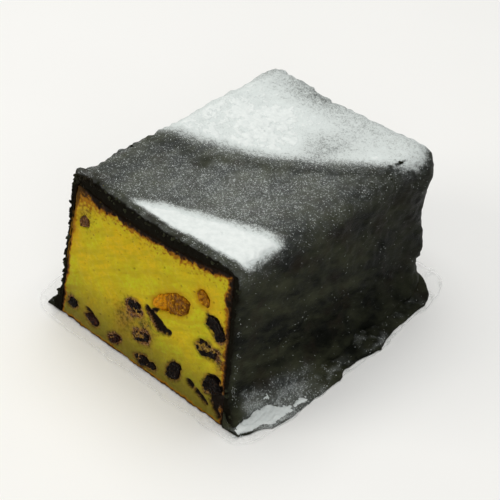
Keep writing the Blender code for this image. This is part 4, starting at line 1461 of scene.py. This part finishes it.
# %% Strew sugar on the glaze
lying = outer_dusting * (1 - ease(0.5, 0.95, outer_dusting)) + 0.10 * ease(0.8, 1.0, outer_dusting)
rim_x, rim_y, rim_z = (outer_points / MM).T
rim = (rim_x > 40) * (1 - ease(4.0, 8.0, rim_y - CUT_Y / MM + 4.5))
rim *= ease(8, 20, rim_z) * (1 - ease(50, 64, rim_z))
lying = np.clip(lying + 0.9 * rim * ease(-0.2, 0.4, rough(outer_points, 4, 122)), 0, 1)
beside_heap = bell(run_y, 16, 20) * bell(run_x, 63, 7) * ease(-0.3, 0.4, rough(run_points, 2.6, 124))
run_lying = np.clip(run_dusting + 0.8 * beside_heap, 0, 1)
# The first two rows of both nets are left out: they lie in the cut edge and inside the foot.
sugared_faces = net_faces(len(outer), columns)[2 * (columns - 1):]
sugared_faces += net_faces(len(run_top), run_wide, len(lying))[2 * (run_wide - 1):]
host = new_mesh("sugar_grains_host", np.concatenate([outer_points, run_points]), sugared_faces, {
    "strewn": np.concatenate([lying, run_lying])})
sugar_grains = run_tree("sugar_grains", strewing, {
    "Most per square metre": 2.6e6, "Smallest": 0.14 * MM, "Largest": 0.5 * MM, "Rounds": 1,
    "Unevenness": 0.3, "Sunk share": 0.12, "Seed": 5, "Finish": icing_sugar}, host)
print("grain triangles:", len(sugar_grains.data.polygons))

# %% Strew chocolate crumbs
crumb_net = np.concatenate([band[-4:], outer])
crumb_points = crumb_net.reshape(-1, 3)
crumb_x, crumb_y, crumb_z = (crumb_points / MM).T
crumb_y = crumb_y - CUT_Y / MM
at_edge = np.repeat([1.0] * 5 + [0.0] * (len(crumb_net) - 5), columns)
more = at_edge * (0.5 + 0.9 * (crumb_x < -38) + 1.2 * bell(np.hypot(crumb_x + 47, crumb_z - 80), 0, 8.0))
high_up = ease(72, 80, crumb_z)
flakes = bell(crumb_x, 45.5, 3.0) * ease(82, 88, crumb_y) * (1 - ease(116, 124, crumb_y)) * high_up
flakes += 0.35 * bell(crumb_x, -48, 2.5) * (1 - ease(60, 66, crumb_y)) * high_up
flakes *= ease(-0.1, 0.5, rough(crumb_points, 5, 123))
host = new_mesh("chocolate_crumbs_host", crumb_points, net_faces(len(crumb_net), columns), {
    "strewn": np.clip(more + 0.30 * flakes, 0, 2.5) / 2.5})
chocolate_crumbs = run_tree("chocolate_crumbs", strewing, {
    "Most per square metre": 9.0e5, "Smallest": 0.5 * MM, "Largest": 2.3 * MM, "Rounds": 2,
    "Unevenness": 0.75, "Sunk share": 0.05, "Seed": 9, "Finish": chocolate}, host)
print("crumb triangles:", len(chocolate_crumbs.data.polygons))

# %% Strew crumbs of curd
EDGE_ROWS = 4
edge_points = outer[:EDGE_ROWS].reshape(-1, 3)
edge_x, _, edge_z = (edge_points / MM).T
right_edge = (edge_x > 40) * ease(10, 22, edge_z) * (1 - 0.8 * ease(52, 62, edge_z))
patchy = ease(-0.15, 0.35, rough(edge_points, 5, 121))
host = new_mesh("curd_crumbs_host", edge_points, net_faces(EDGE_ROWS, columns), {
    "strewn": 0.004 + 0.2 * right_edge * patchy})
curd_crumbs = run_tree("curd_crumbs", strewing, {
    "Most per square metre": 1.2e5, "Smallest": 0.25 * MM, "Largest": 0.8 * MM, "Rounds": 2,
    "Unevenness": 0.7, "Sunk share": 0.1, "Seed": 13, "Finish": baked_curd}, host)
print("curd crumb triangles:", len(curd_crumbs.data.polygons))

# %% [markdown]
# ## Fasten the pieces
# Each finished piece rides on the loaf's one body and stands for the solids it replaces, which
# are hidden. The sugar and the crumbs are new, so they replace nothing.

# %% Fasten every piece
def keep(piece, slot, *nodes):
    """Fastens a finished piece to the loaf and hides the solids it stands for. Its slot is not used."""
    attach(piece, "root")
    if nodes:
        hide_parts(*nodes)
    triangles = sum(len(face.vertices) - 2 for face in piece.data.polygons)
    print(piece.name, "has", triangles, "triangles")


keep(curd_loaf, "baked_curd", "curd")
keep(glaze_coat, "chocolate", "chocolate_glaze")
keep(film_sheet, "clear_film", "film_liner")
for node, fruit in fruit_pieces.items():
    keep(fruit, node.split("_")[0], node)
keep(glaze_run_out, "chocolate")
keep(sugar_powder, "icing_sugar")
keep(sugar_heap, "icing_sugar")
keep(sugar_grains, "icing_sugar")
keep(chocolate_crumbs, "chocolate")
keep(curd_crumbs, "baked_curd")

# %% [markdown]
# ## Floor, light and camera
# A plain pale floor and a large soft light overhead, as over a studio table. A weaker one fills
# the cut face from the front left, and a small one the side at the right. The camera stands
# where the photograph was taken from: above the loaf, in front and to its right, with a long
# lens and the same slight roll.

# %% Floor
FLOOR_HALF = 3.0


def make_floor():
    finish, add, place = new_finish("pale_studio_floor")
    soft = add("TexNoise", {"Vector": place, "Scale": per(80 * MM), "Detail": 2.0})
    colour = add("Mix", {0: soft, 6: "#f7f7f6", 7: "#f9f9f8"}, data_type="RGBA")
    shader = add("BsdfPrincipled", {"Base Color": colour, "Roughness": 0.85})
    add("OutputMaterial", {"Surface": shader})
    ring = [(x * FLOOR_HALF, y * FLOOR_HALF, 0.0) for x, y in ((-1, -1), (1, -1), (1, 1), (-1, 1))]
    floor = new_piece("studio_floor", ring, [(0, 1, 2, 3)], finish)
    floor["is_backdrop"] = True
    return floor


floor = make_floor()
print("floor laid:", floor.name)

# %% Lights
def aimed(place, aim):
    """The matrix of a light or a camera at a place that looks at its aim."""
    way = Vector(aim) - Vector(place)
    return Matrix.Translation(place) @ way.to_track_quat("-Z", "Y").to_matrix().to_4x4()


def make_light(name, place, size, power, tint):
    """A round soft light that shines at the middle of the loaf."""
    light = bpy.data.lights.new(name, "AREA")
    light.shape = "DISK"
    light.size = size
    light.energy = power
    light.color = linear(tint)[:3]
    put(name, light).matrix_world = aimed(place, (0.0, 0.0, 0.04))


make_light("overhead", (-0.2, 0.2, 1.5), 1.6, 17.2, "#fffefb")
make_light("front_fill", (-0.9, -1.2, 0.8), 0.9, 7.3, "#fffaf0")
make_light("right_fill", (0.78, -0.72, 0.60), 0.6, 1.45, "#fffdf8")
world = bpy.data.worlds.new("studio")
world.use_nodes = True
world.node_tree.nodes["Background"].inputs["Color"].default_value = linear("#f2f3f3")
world.node_tree.nodes["Background"].inputs["Strength"].default_value = 0.30
bpy.context.scene.world = world
bpy.context.scene.view_settings.view_transform = "Standard"

# %% Camera
CAMERA_PLACE = Vector((0.3056, -0.4077, 0.4329))
CAMERA_AIM = Vector((0.001, -0.001, 0.0305))
CAMERA_ROLL = 7.0
camera = put("camera", bpy.data.cameras.new("camera"))
camera.data.lens = 97
camera.data.sensor_width = 36
camera.data.clip_start = 0.01
roll = Matrix.Rotation(math.radians(CAMERA_ROLL), 4, "Z")
camera.matrix_world = aimed(CAMERA_PLACE, CAMERA_AIM) @ roll
bpy.context.scene.camera = camera
print("camera distance in m:", round((CAMERA_AIM - CAMERA_PLACE).length, 3))

low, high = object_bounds()
print("visual box in mm:", [round(1000 * v, 1) for v in high - low])
